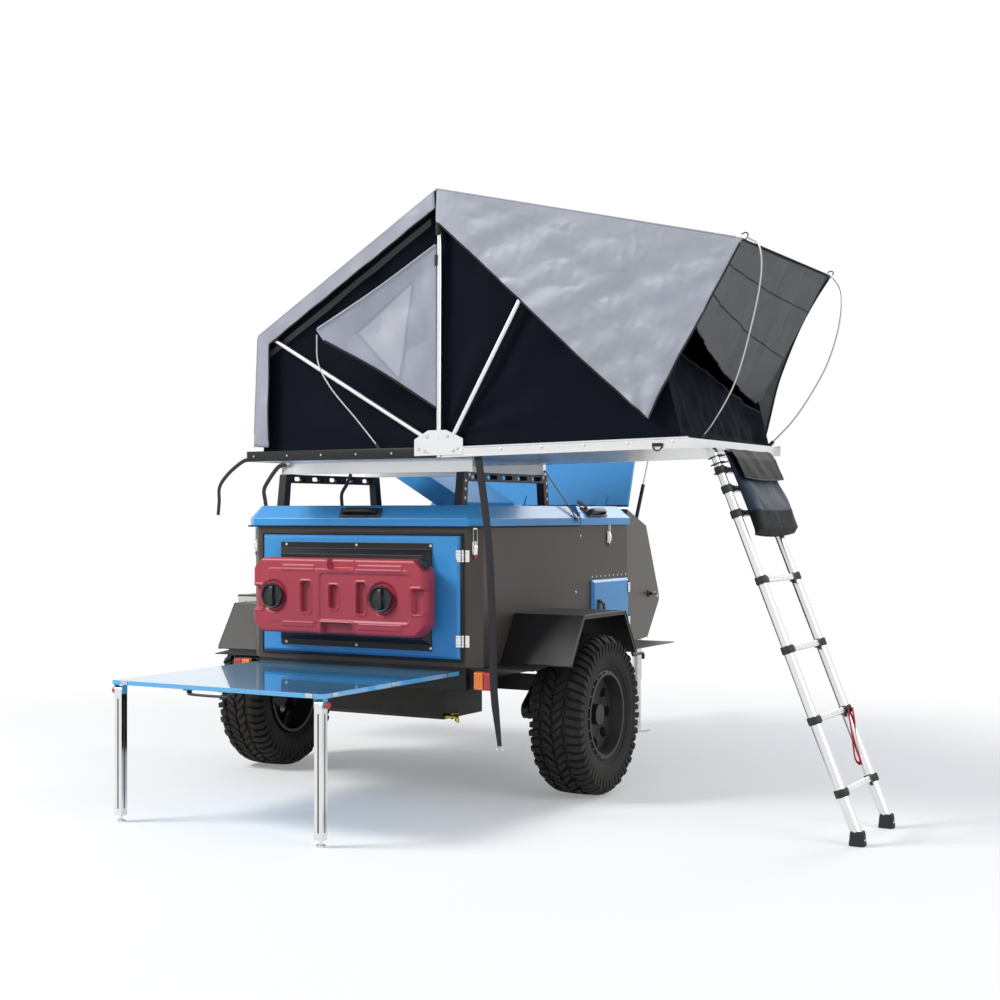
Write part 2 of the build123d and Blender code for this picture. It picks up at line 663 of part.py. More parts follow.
# Nose lid: two folded panels with their side lips, turned open about the hinge line
lid_line = [NOSE_COWL, NOSE_KNEE, NOSE_TIP]
lid_low = offset_line(lid_line, NLID_LIFT)
lid_high = offset_line(lid_line, NLID_LIFT + NLID_T)
with BuildPart() as nose_lid:
    with BuildSketch(yz(-NLID_HALF)):
        Polygon(*lid_low, *reversed(lid_high), align=None)
    extrude(amount=2 * NLID_HALF)
    with BuildSketch(xy(600)):
        for side in (-1, 1):
            Polygon((side * NLID_HALF, NOSE_COWL[0] - 60), (side * NLID_TIP_HALF, NOSE_TIP[0] + 60),
                    (side * 900, NOSE_TIP[0] + 60), (side * 900, NOSE_COWL[0] - 60), align=None)
    extrude(amount=1000, mode=Mode.SUBTRACT)
    for x in NLID_KNUCKLES:
        with BuildSketch(yz(x - 70)):
            Polygon((NLID_HINGE[0] - 7, NLID_HINGE[1] - 7), (NLID_HINGE[0] - 7, NLID_HINGE[1] + 7),
                    (NLID_HINGE[0] + 8, NLID_HINGE[1] + 7), (NOSE_COWL[0] + 70, NOSE_COWL[1] + 13.6),
                    (NOSE_COWL[0] + 60, NOSE_COWL[1] - 2.4), (NOSE_COWL[0] + 12, NOSE_COWL[1] + 5.6), align=None)
            with Locations(NLID_HINGE):
                Circle(4.3, mode=Mode.SUBTRACT)
        extrude(amount=60)
turn = Location(at(0, NLID_HINGE[0], NLID_HINGE[1])) * Location((0, 0, 0), (NLID_OPEN, 0, 0)) \
    * Location(at(0, NLID_HINGE[0], NLID_HINGE[1])).inverse()
nose_lid.part = nose_lid.part.moved(turn)
nose_lid.part.label = "nose_lid"
pieces.append(nose_lid)

# Gas strut of the nose lid
base = at(STRUT_X, *STRUT_BASE)
eye = at(STRUT_X, *STRUT_EYE)
strut_plane, strut_len = rod(base, eye)
cheek = BODY_HALF - WALL - nose_slope * (STRUT_BASE[0] + STRUT_PIN_R - BODY_FRONT)
with BuildPart() as strut_cylinder:
    with BuildSketch(strut_plane):
        Circle(STRUT_R)
    extrude(amount=STRUT_LEN)
    with BuildSketch(strut_plane.offset(14)):
        Circle(ROD_BORE)
    extrude(amount=STRUT_LEN, mode=Mode.SUBTRACT)
    with BuildSketch(yz(STRUT_X - 6)):
        with Locations(STRUT_BASE):
            Circle(STRUT_PIN_R)
    extrude(amount=cheek - STRUT_PIN_GAP - STRUT_X + 6)
strut_cylinder.part.label = "strut_cylinder"
pieces.append(strut_cylinder)
with BuildPart() as strut_rod:
    with BuildSketch(strut_plane.offset(strut_len - ROD_LEN)):
        Circle(ROD_R)
    extrude(amount=ROD_LEN)
    with BuildSketch(yz(STRUT_X - 6)):
        with Locations(STRUT_EYE):
            Circle(STRUT_PIN_R)
    extrude(amount=12)
strut_rod.part.label = "strut_rod"
pieces.append(strut_rod)

# Rear door with bevelled edge
with BuildPart() as rear_door:
    with BuildSketch(xz(-SEAT)):
        with Locations(((DOOR_L + DOOR_R) / 2, (DOOR_LOW + DOOR_HIGH) / 2)):
            Rectangle(DOOR_R - DOOR_L, DOOR_HIGH - DOOR_LOW)
    extrude(amount=DOOR_T)
    chamfer(rear_door.faces().sort_by(Axis.Y)[0].edges(), length=12)
    for z in DOOR_HINGES:
        with BuildSketch(xy(z - HINGE_LONG / 2)):
            with Locations(DOOR_PIN):
                Circle(HINGE_R)
            with Locations(((DOOR_R - LEAF_IN + DOOR_PIN[0]) / 2, DOOR_PIN[1])):
                Rectangle(DOOR_PIN[0] - DOOR_R + LEAF_IN, HINGE_PIN_R)
            with Locations(DOOR_PIN):
                Circle(HINGE_PIN_R + SEAT, mode=Mode.SUBTRACT)
        extrude(amount=HINGE_LONG)
rear_door.part.label = "rear_door"
pieces.append(rear_door)

# Bracket pan on the door
door_face = -SEAT - DOOR_T
with BuildPart() as pack_bracket:
    with BuildSketch(xz(door_face)):
        with Locations(((BRACKET_L + BRACKET_R) / 2, (BRACKET_LOW + BRACKET_HIGH) / 2)):
            Rectangle(BRACKET_R - BRACKET_L, BRACKET_HIGH - BRACKET_LOW)
    extrude(amount=BRACKET_T)
    with BuildSketch(xz(door_face - BRACKET_T)):
        with Locations(((BRACKET_L + BRACKET_R) / 2, (BRACKET_LOW + BRACKET_HIGH) / 2)):
            Rectangle(BRACKET_R - BRACKET_L, BRACKET_HIGH - BRACKET_LOW - 60)
    extrude(amount=PAN_DEPTH, taper=35)
pack_bracket.part.label = "pack_bracket"
pieces.append(pack_bracket)

# Fluid pack: flat can with cut corners, two grip openings and three recesses
pack_back = door_face - BRACKET_T - PAN_DEPTH
with BuildPart() as fluid_pack:
    with BuildSketch(xz(pack_back)) as pack_face:
        with Locations(((PACK_L + PACK_R) / 2, (PACK_LOW + PACK_HIGH) / 2)):
            Rectangle(PACK_R - PACK_L, PACK_HIGH - PACK_LOW)
        chamfer(pack_face.vertices(), length=PACK_CORNER)
        with Locations((-50, PACK_HIGH - 48), (-52, PACK_LOW + 46)):
            SlotOverall(200, 44, mode=Mode.SUBTRACT)
    extrude(amount=PACK_T)
    chamfer(fluid_pack.faces().sort_by(Axis.Y)[0].outer_wire().edges(), length=16)
    with BuildSketch(xz(pack_back - PACK_T)):
        with Locations((-227, 990), (-70, 990), (87, 990)):
            SlotOverall(190, 56, rotation=90)
    extrude(amount=-26, mode=Mode.SUBTRACT)
fluid_pack.part.label = "fluid_pack"
pieces.append(fluid_pack)

# Two knobs that clamp the pack
knob_back = pack_back - PACK_T - SEAT
for name, spot in KNOBS.items():
    with BuildPart() as knob:
        with BuildSketch(xz(knob_back)):
            with Locations(spot):
                Circle(KNOB_R)
        extrude(amount=KNOB_T)
        with BuildSketch(xz(knob_back - KNOB_T)):
            with Locations(spot):
                SlotOverall(2 * KNOB_R - 10, 30, rotation=70)
        extrude(amount=18)
    knob.part.label = name
    pieces.append(knob)

# Side hatch on the right
with BuildPart() as side_hatch:
    with BuildSketch(yz(BODY_HALF + SEAT)):
        with Locations(((HATCH_Y[0] + HATCH_Y[1]) / 2, (HATCH_Z[0] + HATCH_Z[1]) / 2)):
            Rectangle(HATCH_Y[1] - HATCH_Y[0], HATCH_Z[1] - HATCH_Z[0])
    extrude(amount=HATCH_T)
    chamfer(side_hatch.faces().sort_by(Axis.X)[-1].edges(), length=14)
    for z in HATCH_HINGES:
        with BuildSketch(xy(z - HINGE_LONG / 2)):
            with Locations(HATCH_PIN):
                Circle(HINGE_R)
            with Locations((HATCH_PIN[0], (HATCH_Y[1] - LEAF_IN + HATCH_PIN[1]) / 2)):
                Rectangle(HINGE_PIN_R, HATCH_PIN[1] - HATCH_Y[1] + LEAF_IN)
            with Locations(HATCH_PIN):
                Circle(HINGE_PIN_R + SEAT, mode=Mode.SUBTRACT)
        extrude(amount=HINGE_LONG)
side_hatch.part.label = "side_hatch"
pieces.append(side_hatch)

# Drawer pulled out of the left wall
with BuildPart() as side_drawer:
    with BuildSketch(xy(DRAWER_Z[0])):
        Polygon((-BODY_HALF - DRAWER_OUT, DRAWER_Y[0]), (-BODY_HALF + DRAWER_IN, DRAWER_Y[0]),
                (-BODY_HALF + DRAWER_IN, DRAWER_Y[1]), (-BODY_HALF - DRAWER_OUT, DRAWER_Y[1]), align=None)
    extrude(amount=DRAWER_Z[1] - DRAWER_Z[0])
    with BuildSketch(xy(DRAWER_Z[0] + DRAWER_WALL)):
        Polygon((-BODY_HALF - DRAWER_OUT + DRAWER_WALL, DRAWER_Y[0] + DRAWER_WALL),
                (-BODY_HALF + DRAWER_IN - DRAWER_WALL, DRAWER_Y[0] + DRAWER_WALL),
                (-BODY_HALF + DRAWER_IN - DRAWER_WALL, DRAWER_Y[1] - DRAWER_WALL),
                (-BODY_HALF - DRAWER_OUT + DRAWER_WALL, DRAWER_Y[1] - DRAWER_WALL), align=None)
    extrude(amount=DRAWER_Z[1] - DRAWER_Z[0], mode=Mode.SUBTRACT)
    with BuildSketch(xy(DRAWER_Z[0] + 12)):
        Polygon((-BODY_HALF - DRAWER_OUT, DRAWER_Y[0] - 5), (-BODY_HALF - DRAWER_OUT + 40, DRAWER_Y[0] - 5),
                (-BODY_HALF - DRAWER_OUT + 40, DRAWER_Y[0] + 2), (-BODY_HALF - DRAWER_OUT, DRAWER_Y[0] + 2),
                align=None)
    extrude(amount=16)
side_drawer.part.label = "side_drawer"
pieces.append(side_drawer)

# Runners that carry the drawer across the floor
runner_out = RUNNER_GAP + WALL - BODY_HALF
runner_in = runner_out + RUNNER_LEN
with BuildPart() as drawer_runners:
    with BuildSketch(xy(BODY_BOTTOM + FLOOR_T)):
        Polygon((runner_out, DRAWER_Y[0]), (runner_in, DRAWER_Y[0]), (runner_in, DRAWER_Y[1]),
                (runner_out, DRAWER_Y[1]), align=None)
    extrude(amount=RUNNER_T)
    with BuildSketch(xy(BODY_BOTTOM + FLOOR_T)):
        for y in (DRAWER_Y[0], DRAWER_Y[1] - RUNNER_W):
            Polygon((runner_out, y), (runner_in, y), (runner_in, y + RUNNER_W), (runner_out, y + RUNNER_W),
                    align=None)
    extrude(amount=DRAWER_Z[0] - SEAT - BODY_BOTTOM - FLOOR_T)
drawer_runners.part.label = "drawer_runners"
pieces.append(drawer_runners)

# Fenders: one folded plate each side, narrower at its steps, with a lip along the arch
for side, name in ((-1, "fender_left"), (1, "fender_right")):
    low = offset_line(FEND_PROFILE, -FEND_T)
    with BuildPart() as fender:
        with BuildSketch(yz(side * (BODY_HALF + SEAT))):
            Polygon(*FEND_PROFILE, *reversed(low), align=None)
        extrude(amount=side * (FEND_OUT - BODY_HALF - SEAT))
        with BuildSketch(yz(side * (FEND_OUT - 4))):
            arch = FEND_PROFILE[1:5]
            Polygon(*arch, *reversed(offset_line(arch, -20)), align=None)
        extrude(amount=side * 4)
        with BuildSketch(xy(600)):
            Polygon((side * FEND_STEP_REAR, 0), (side * 1200, 0), (side * 1200, 236), (side * FEND_STEP_REAR, 236),
                    align=None)
            Polygon((side * FEND_STEP_FRONT, 1068), (side * 1200, 1068), (side * 1200, 1900),
                    (side * FEND_STEP_FRONT, 1900), align=None)
        extrude(amount=120, mode=Mode.SUBTRACT)
        with BuildSketch(yz(side * (BODY_HALF + SEAT))):
            Polygon((236, 640), (FEND_PROFILE[1][0], FEND_PROFILE[1][1]), FEND_PROFILE[2], FEND_PROFILE[3],
                    FEND_PROFILE[4], (1062, 640), (1010, 640), (900, 850), (400, 850), (290, 640), align=None)
        extrude(amount=side * 4)
    fender.part.label = name
    pieces.append(fender)

# Tail lamps
for side, name in ((-1, "lamp_left"), (1, "lamp_right")):
    with BuildPart() as lamp:
        with BuildSketch(xz(40 - SEAT)):
            with Locations((side * (LAMP_X[0] + LAMP_X[1]) / 2, (LAMP_Z[0] + LAMP_Z[1]) / 2)):
                Rectangle(LAMP_X[1] - LAMP_X[0], LAMP_Z[1] - LAMP_Z[0])
        extrude(amount=LAMP_T)
        chamfer(lamp.faces().sort_by(Axis.Y)[0].edges(), length=6)
    lamp.part.label = name
    pieces.append(lamp)

# Roof rack hoops with slotted rails, and the two cross bars
for side, name in ((-1, "rack_hoop_left"), (1, "rack_hoop_right")):
    with BuildPart() as hoop:
        with BuildSketch(yz(side * HOOP_X - HOOP_W / 2)):
            Polygon((HOOP_REAR - HOOP_SPLAY, lid_top + SEAT), (HOOP_REAR, HOOP_TOP), (HOOP_FRONT, HOOP_TOP),
                    (HOOP_FRONT + HOOP_SPLAY, lid_top + SEAT), (HOOP_FRONT + HOOP_SPLAY - HOOP_BAND - 12, lid_top + SEAT),
                    (HOOP_FRONT - HOOP_BAND, HOOP_TOP - HOOP_BAND), (HOOP_REAR + HOOP_BAND, HOOP_TOP - HOOP_BAND),
                    (HOOP_REAR - HOOP_SPLAY + HOOP_BAND + 12, lid_top + SEAT), align=None)
            with Locations(*[(HOOP_REAR + 130 + i * 170, HOOP_TOP - HOOP_BAND / 2) for i in range(5)]):
                SlotOverall(110, 22, mode=Mode.SUBTRACT)
        extrude(amount=HOOP_W)
    hoop.part.label = name
    pieces.append(hoop)

for y, name in zip(CROSSBAR_Y, ("crossbar_rear", "crossbar_front")):
    with BuildPart() as bar:
        with BuildSketch(xz(y + CROSSBAR_W / 2)):
            with Locations((0, (HOOP_TOP + BASE_BOTTOM) / 2)):
                Rectangle(2 * CROSSBAR_HALF, BASE_BOTTOM - HOOP_TOP - 2 * SEAT)
        extrude(amount=CROSSBAR_W)
    bar.part.label = name
    pieces.append(bar)

# Tent platform: left half on the bars, right half hinged out and tilted up a little
with BuildPart() as tent_base_left:
    with BuildSketch(xy(BASE_BOTTOM)):
        Polygon((BASE_L, BASE_NEAR), (HINGE_X - 2, BASE_NEAR), (HINGE_X - 2, BASE_FAR), (BASE_L, BASE_FAR), align=None)
    extrude(amount=BASE_TOP - BASE_BOTTOM)
tent_base_left.part.label = "tent_base_left"
pieces.append(tent_base_left)

tilt = radians(BASE_TILT)
right_top = Plane(origin=at(HINGE_X, 0, BASE_TOP), x_dir=(cos(tilt), 0, sin(tilt)), z_dir=(-sin(tilt), 0, cos(tilt)))
right_len = (BASE_R - HINGE_X) / cos(tilt)
with BuildPart() as tent_base_right:
    with BuildSketch(right_top):
        Polygon((2, BASE_NEAR), (right_len, BASE_NEAR), (right_len, BASE_FAR), (2, BASE_FAR), align=None)
    extrude(amount=-(BASE_TOP - BASE_BOTTOM))
    for y in (LAD_NEAR, LAD_NEAR + LAD_GAUGE):
        for face in (-LAD_R_TOP - LUG_T - 1, LAD_R_TOP + 1):
            with BuildSketch(xz(y + face + LUG_T)):
                Polygon((1784, 1650), (1824, 1650), (1824, 1676), (1798, 1692), (1784, 1692), align=None)
            extrude(amount=LUG_T)
        with BuildSketch(xz(y + LAD_R_TOP + 1 + LUG_T)):
            with Locations(LAD_PIVOT):
                Circle(LEG_PIN_R)
        extrude(amount=2 * (LAD_R_TOP + 1 + LUG_T))
tent_base_right.part.label = "tent_base_right"
pieces.append(tent_base_right)

# Tent frame: hinge plates and three bows
with BuildPart() as tent_frame:
    for y in (BASE_NEAR - SEAT, BASE_FAR + SEAT + PLATE_T):
        with BuildSketch(xz(y)):
            Polygon((486, 1668), (486, 1745), (560, PIVOT_Z + 18), (655, PIVOT_Z + 18), (742, 1745), (742, 1672),
                    align=None)
        extrude(amount=PLATE_T)
    for x0, x1, z1 in BOWS:
        for y in (POLE_NEAR, POLE_FAR):
            foot = at(x0, y, PIVOT_Z - 8)
            head = at(x1, y, z1)
            plane, length = rod(foot, head)
            with BuildSketch(plane):
                Circle(POLE_R)
            extrude(amount=length + 4)
        with BuildSketch(xz(POLE_FAR + POLE_R + 5)):
            with Locations((x1, z1)):
                Circle(POLE_R - 2)
        extrude(amount=POLE_FAR - POLE_NEAR + 2 * POLE_R + 10)
    for y in (BASE_NEAR - SEAT - PLATE_T - 2, POLE_FAR - POLE_R - 2):
        with BuildSketch(xz(y + 34)):
            with Locations(*[(x0, PIVOT_Z - 10) for x0, x1, z1 in BOWS]):
                Circle(POLE_R - 4)
        extrude(amount=34)
tent_frame.part.label = "tent_frame"
pieces.append(tent_frame)

# Tent body: near wall with its window, far wall, left end and the low right end
roof_slope = (RIDGE[1] - EAVE_R[1]) / (EAVE_R[0] - RIDGE[0])
near_pts = [(BODY_FOOT_L, BASE_TOP + SEAT), (EAVE_L[0] + 36, EAVE_L[1] - 40), (RIDGE[0] - 2, RIDGE[1] - 56),
            (BODY_HEAD_R, RIDGE[1] - (BODY_HEAD_R - RIDGE[0]) * roof_slope - HEAD_DROP), BODY_FOOT_R,
            (HINGE_X, BASE_TOP + SEAT + 0.1)]
with BuildPart() as tent_body:
    with BuildSketch(xz(WALL_NEAR)):
        Polygon(*near_pts, align=None)
        Polygon(*WINDOW, align=None, mode=Mode.SUBTRACT)
    extrude(amount=-CLOTH)
    with BuildSketch(xz(WALL_FAR)):
        Polygon(*near_pts, align=None)
    extrude(amount=-CLOTH)
    with BuildSketch(xz(WALL_NEAR)):
        foot, head = near_pts[:2]
        Polygon(foot, head, (head[0] + CLOTH, head[1]), (foot[0] + CLOTH, foot[1]), align=None)
    extrude(amount=-(WALL_FAR - WALL_NEAR))
    with BuildSketch(xz(WALL_NEAR)):
        Polygon(BODY_FOOT_R, LOW_END, (LOW_END[0] - CLOTH, LOW_END[1]), (BODY_FOOT_R[0] - CLOTH, BODY_FOOT_R[1]),
                align=None)
    extrude(amount=-(WALL_FAR - WALL_NEAR))
    with BuildSketch(yz(1500)):
        Polygon((WALL_NEAR + 60, LOW_END_Z[0]), (WALL_FAR + 60, LOW_END_Z[1]), (WALL_FAR + 60, LOW_END[1] + 188),
                (WALL_NEAR + 60, LOW_END[1] + 188), align=None)
    extrude(amount=400, mode=Mode.SUBTRACT)
tent_body.part.label = "tent_body"
pieces.append(tent_body)

# Tent fly: roof over the ridge, left skirt and the two side flaps
roof = [SKIRT_L, EAVE_L, RIDGE, EAVE_R]
roof_low = offset_line(roof, -CLOTH)
fly_near = BASE_NEAR - 12
fly_far = BASE_FAR + 12
with BuildPart() as tent_fly:
    with BuildSketch(xz(fly_near)):
        Polygon(*roof, *reversed(roof_low), align=None)
    extrude(amount=-(fly_far - fly_near))
    for y in (fly_near, fly_far - CLOTH):
        with BuildSketch(xz(y)):
            Polygon((RIDGE[0] - 4, RIDGE[1] - 150), RIDGE, EAVE_R, (EAVE_R[0] - 14, EAVE_R[1] - 10), FLAP_POINT,
                    align=None)
        extrude(amount=-CLOTH)
tent_fly.part.label = "tent_fly"
pieces.append(tent_fly)

# Entrance flap hanging in from the fly's right edge
flap_origin = at(EAVE_R[0] - 12, fly_near + CLOTH + SEAT, EAVE_R[1] - 1.4)
drop = Vector(-405, 0, -745).normalized()
flap_wide = fly_far - fly_near - 2 * CLOTH - 2 * SEAT
flap_plane = Plane(origin=flap_origin, x_dir=(0, 1, 0), z_dir=Vector(0, 1, 0).cross(drop))
with BuildPart() as entrance_flap:
    with BuildSketch(flap_plane):
        Polygon((0, 0), (flap_wide, 0), (flap_wide, 700), (0, 400), align=None)
    extrude(amount=CLOTH)
entrance_flap.part.label = "entrance_flap"
pieces.append(entrance_flap)

# Window awning held out from the near wall
corner = Vector(*at(62, -470, 2240))
high = Vector(*at(595.6, -276, 2650))
low_pt = Vector(*at(595.6, -276, 1888))
u = (low_pt - high).normalized()
n = u.cross(corner - high).normalized()
awn_plane = Plane(origin=high, x_dir=u, z_dir=n)
local = [awn_plane.to_local_coords(p) for p in (high, low_pt, corner)]
with BuildPart() as window_awning:
    with BuildSketch(awn_plane):
        Polygon(*[(p.X, p.Y) for p in local], align=None)
    extrude(amount=CLOTH)
window_awning.part.label = "window_awning"
pieces.append(window_awning)

# Bent spring rods of the awnings: foot, tip, and how far each share of the way bows out in X and Y
RODS = {
    "awning_rod_near": [(1788, -60, 1728.6), (EAVE_R[0] + 14, fly_near + 31, EAVE_R[1] + 4),
                        [(0.075, 41, -4), (0.28, 99, -11), (0.56, 107, -3), (0.805, 94, 2), (0.951, 58, -4)]],
    "awning_rod_far": [(1788, 900, 1728.6), (EAVE_R[0] + 16, fly_far - 34, EAVE_R[1] - 8),
                       [(0.15, 74, -2), (0.323, 119, -6), (0.496, 141, -10), (0.706, 129, -15), (0.891, 83, -20)]],
    "window_rod": [(288, -276, 1707.6), (57.6, -468.5, 2243), [(0.266, -37, -3), (0.528, -70, -22), (0.752, -63, -25)]],
}
for name, (foot, tip, bows) in RODS.items():
    span = [tip[i] - foot[i] for i in range(3)]
    route = [foot] + [(foot[0] + t * span[0] + bx, foot[1] + t * span[1] + by, foot[2] + t * span[2])
                      for t, bx, by in bows] + [tip]
    with BuildPart() as spring:
        with BuildLine():
            path = Polyline(*[at(*p) for p in route])
        with BuildSketch(Plane(origin=path @ 0, z_dir=path % 0)):
            Circle(SPRING_R)
        sweep(path=path, transition=Transition.RIGHT)
    spring.part.label = name
    pieces.append(spring)

# Ladder: two stepped rails, collars, rungs and feet
lad_dir = Vector(LAD_FOOT[0] - LAD_TOP[0], 0, LAD_FOOT[1] - LAD_TOP[1])
lad_len = lad_dir.length
lad_dir = lad_dir.normalized()
lad_out = Vector(-lad_dir.Z, 0, lad_dir.X)
with BuildPart() as ladder:
    for y in (LAD_NEAR, LAD_NEAR + LAD_GAUGE):
        stops = [0.0] + list(LAD_RUNGS) + [1.0]
        for i in range(len(stops) - 1):
            r = LAD_R_TOP + (LAD_R_FOOT - LAD_R_TOP) * i / (len(stops) - 2)
            start = Vector(*at(LAD_TOP[0], y, LAD_TOP[1])) + lad_dir * (lad_len * stops[i])
            with BuildSketch(Plane(origin=start, z_dir=lad_dir)):
                Circle(r)
            extrude(amount=lad_len * (stops[i + 1] - stops[i]) - (10 if i == len(stops) - 2 else 0))
            if i:
                with BuildSketch(Plane(origin=start - lad_dir * 14, z_dir=lad_dir)):
                    Circle(r + 6)
                extrude(amount=34)
    for t in LAD_RUNGS:
        spot = Vector(*at(LAD_TOP[0], LAD_NEAR, LAD_TOP[1])) + lad_dir * (lad_len * t)
        with BuildSketch(Plane(origin=spot, x_dir=lad_dir, z_dir=(0, 1, 0))):
            Rectangle(30, 28)
        extrude(amount=LAD_GAUGE)
    for y in (LAD_NEAR, LAD_NEAR + LAD_GAUGE):
        with BuildSketch(xy(0)):
            with Locations((LAD_FOOT[0] - 12, y)):
                RectangleRounded(64, 58, 12)
        extrude(amount=34)
        with BuildSketch(xz(y + 30)):
            with Locations(LAD_PIVOT):
                Circle(LEG_PIN_R + SEAT)
        extrude(amount=60, mode=Mode.SUBTRACT)
ladder.part.label = "ladder"
pieces.append(ladder)

# Shoe bag hung on the outer side of the ladder's top
bag_top = Vector(*at(LAD_TOP[0], LAD_NEAR + 36, LAD_TOP[1])) + lad_out * (LAD_R_TOP + 10) + lad_dir * 6
with BuildPart() as shoe_bag:
    with BuildSketch(Plane(origin=bag_top, x_dir=(0, 1, 0), z_dir=lad_out)):
        Polygon((0, 0), (0, -130), (0, -400), (560, -400), (560, -130), (560, 0), align=None)
    extrude(amount=62)
shoe_bag.part.label = "shoe_bag"
pieces.append(shoe_bag)

# Table panel and its two fold-down legs
with BuildPart() as table_top:
    with BuildSketch(xy(TABLE_TOP - TABLE_T)):
        Polygon((-TABLE_HALF, TABLE_REAR), (TABLE_HALF, TABLE_REAR), (TABLE_HALF, -SEAT), (-TABLE_HALF, -SEAT),
                align=None)
    extrude(amount=TABLE_T)
    lug_y = TABLE_REAR + LEG_IN + LEG_W / 2
    for side in (-1, 1):
        leg_x = side * (TABLE_HALF - LEG_IN - LEG_W / 2)
        for face in (-LEG_W / 2 - LEG_GAP - LUG_T, LEG_W / 2 + LEG_GAP):
            with BuildSketch(yz(leg_x + face)):
                with Locations((lug_y, (LEG_PIVOT - 14 + TABLE_TOP - TABLE_T) / 2)):
                    Rectangle(32, TABLE_TOP - TABLE_T - LEG_PIVOT + 14)
            extrude(amount=LUG_T)
        with BuildSketch(yz(leg_x - LEG_W / 2 - LEG_GAP - LUG_T)):
            with Locations((lug_y, LEG_PIVOT)):
                Circle(LEG_PIN_R)
        extrude(amount=LEG_W + 2 * LEG_GAP + 2 * LUG_T)
table_top.part.label = "table_top"
pieces.append(table_top)

for side, name in ((-1, "table_leg_left"), (1, "table_leg_right")):
    x = side * (TABLE_HALF - LEG_IN - LEG_W / 2)
    y = TABLE_REAR + LEG_IN + LEG_W / 2
    with BuildPart() as leg:
        with BuildSketch(xy(30)):
            with Locations((x, y)):
                Rectangle(LEG_W, LEG_W)
        extrude(amount=LEG_PIVOT + 8 - 30)
        with BuildSketch(xy(0)):
            with Locations((x, y)):
                Circle(17)
        extrude(amount=8)
        with BuildSketch(xy(8)):
            with Locations((x, y)):
                Circle(7)
        extrude(amount=24)
        with BuildSketch(yz(x - LEG_W / 2)):
            with Locations((y, LEG_PIVOT)):
                Circle(LEG_W / 2)
        extrude(amount=LEG_W)
        with BuildSketch(yz(x - LEG_W / 2)):
            with Locations((y, LEG_PIVOT)):
                Circle(LEG_PIN_R + SEAT)
        extrude(amount=LEG_W, mode=Mode.SUBTRACT)
    leg.part.label = name
    pieces.append(leg)

# Webbing strap hanging from the tent platform
with BuildPart() as strap_rear:
    with BuildSketch(xz(STRAP_Y)):
        left = [(p[0] - STRAP_W / 2, p[1]) for p in STRAP_LINE]
        right = [(p[0] + STRAP_W / 2, p[1]) for p in STRAP_LINE]
        Polygon(*left, *reversed(right), align=None)
    extrude(amount=-STRAP_T)
strap_rear.part.label = "strap_rear"
pieces.append(strap_rear)

# Strap from the front cross bar down over the roof lid's edge
side_top = Vector(*at(CROSSBAR_HALF + 1.4, CROSSBAR_Y[1] + 5, 1625))
side_low = Vector(*at(LID_HALF + 22, 1078, BODY_TOP + 14))
run = (side_low - side_top).normalized()
across = Vector(0, 1, 0)
with BuildPart() as strap_side:
    with BuildSketch(Plane(origin=side_top, x_dir=run, z_dir=run.cross(across))):
        Rectangle((side_low - side_top).length, STRAP_W, align=(Align.MIN, Align.CENTER))
    extrude(amount=STRAP_T)
strap_side.part.label = "strap_side"
pieces.append(strap_side)

for piece in pieces:
    export_step(piece.part, "parts/" + piece.part.label + ".step")
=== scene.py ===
# %% [markdown]
# # An off-road camper trailer at camp
# The CAD frame holds every rigid piece at its real size. This lesson dresses it: soft light, procedural paints,
# metals and cloth, and the shapes that a solid model keeps plain, such as tread, wrinkled cloth and small fittings.
# Lengths are metres. Places are first given from the body's centre plane, its rear face and the ground, because that
# is how the trailer's maker would measure it, and SHIFT carries them into the frame.

# %% Load the frame
from math import cos, pi, radians, sin

import bmesh
import bpy
import numpy as np
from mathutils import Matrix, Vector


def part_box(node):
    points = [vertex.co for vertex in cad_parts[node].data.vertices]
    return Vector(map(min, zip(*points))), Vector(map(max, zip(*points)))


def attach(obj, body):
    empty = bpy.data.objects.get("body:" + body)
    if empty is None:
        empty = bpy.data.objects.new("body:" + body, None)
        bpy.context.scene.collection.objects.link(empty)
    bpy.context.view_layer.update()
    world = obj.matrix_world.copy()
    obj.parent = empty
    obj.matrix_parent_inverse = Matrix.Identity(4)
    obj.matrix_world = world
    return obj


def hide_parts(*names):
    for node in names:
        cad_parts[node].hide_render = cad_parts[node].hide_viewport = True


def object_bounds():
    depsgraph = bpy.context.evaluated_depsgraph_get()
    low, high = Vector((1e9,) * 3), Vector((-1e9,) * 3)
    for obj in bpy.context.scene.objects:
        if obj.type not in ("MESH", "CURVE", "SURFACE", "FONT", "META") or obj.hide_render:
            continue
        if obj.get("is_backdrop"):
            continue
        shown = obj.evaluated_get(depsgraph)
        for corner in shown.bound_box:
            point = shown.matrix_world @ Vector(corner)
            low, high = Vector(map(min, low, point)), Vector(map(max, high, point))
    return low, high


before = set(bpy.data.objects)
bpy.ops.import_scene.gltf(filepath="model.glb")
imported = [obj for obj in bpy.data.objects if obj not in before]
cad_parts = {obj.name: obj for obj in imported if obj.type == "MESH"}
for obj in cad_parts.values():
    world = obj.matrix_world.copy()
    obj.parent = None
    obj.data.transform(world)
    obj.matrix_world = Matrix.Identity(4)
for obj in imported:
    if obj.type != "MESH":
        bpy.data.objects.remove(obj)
cad_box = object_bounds()
SHIFT = np.array([-0.436, -1.224, 0.0])
FOLD_ANGLE = 25  # degrees from which an edge of a CAD solid counts as a fold
WHEEL_X, WHEEL_Y, WHEEL_Z = 0.934, 0.648, 0.400  # the wheels' centres, left and right of the middle
SIDE_X = 0.666  # half the body's width
KNOBS = {"knob_left": (-0.38, 0.99), "knob_right": (0.25, 0.99)}  # x, z of the can's clamps
LEG_X, LEG_Y = 0.5415, -1.1815  # the table legs' axes

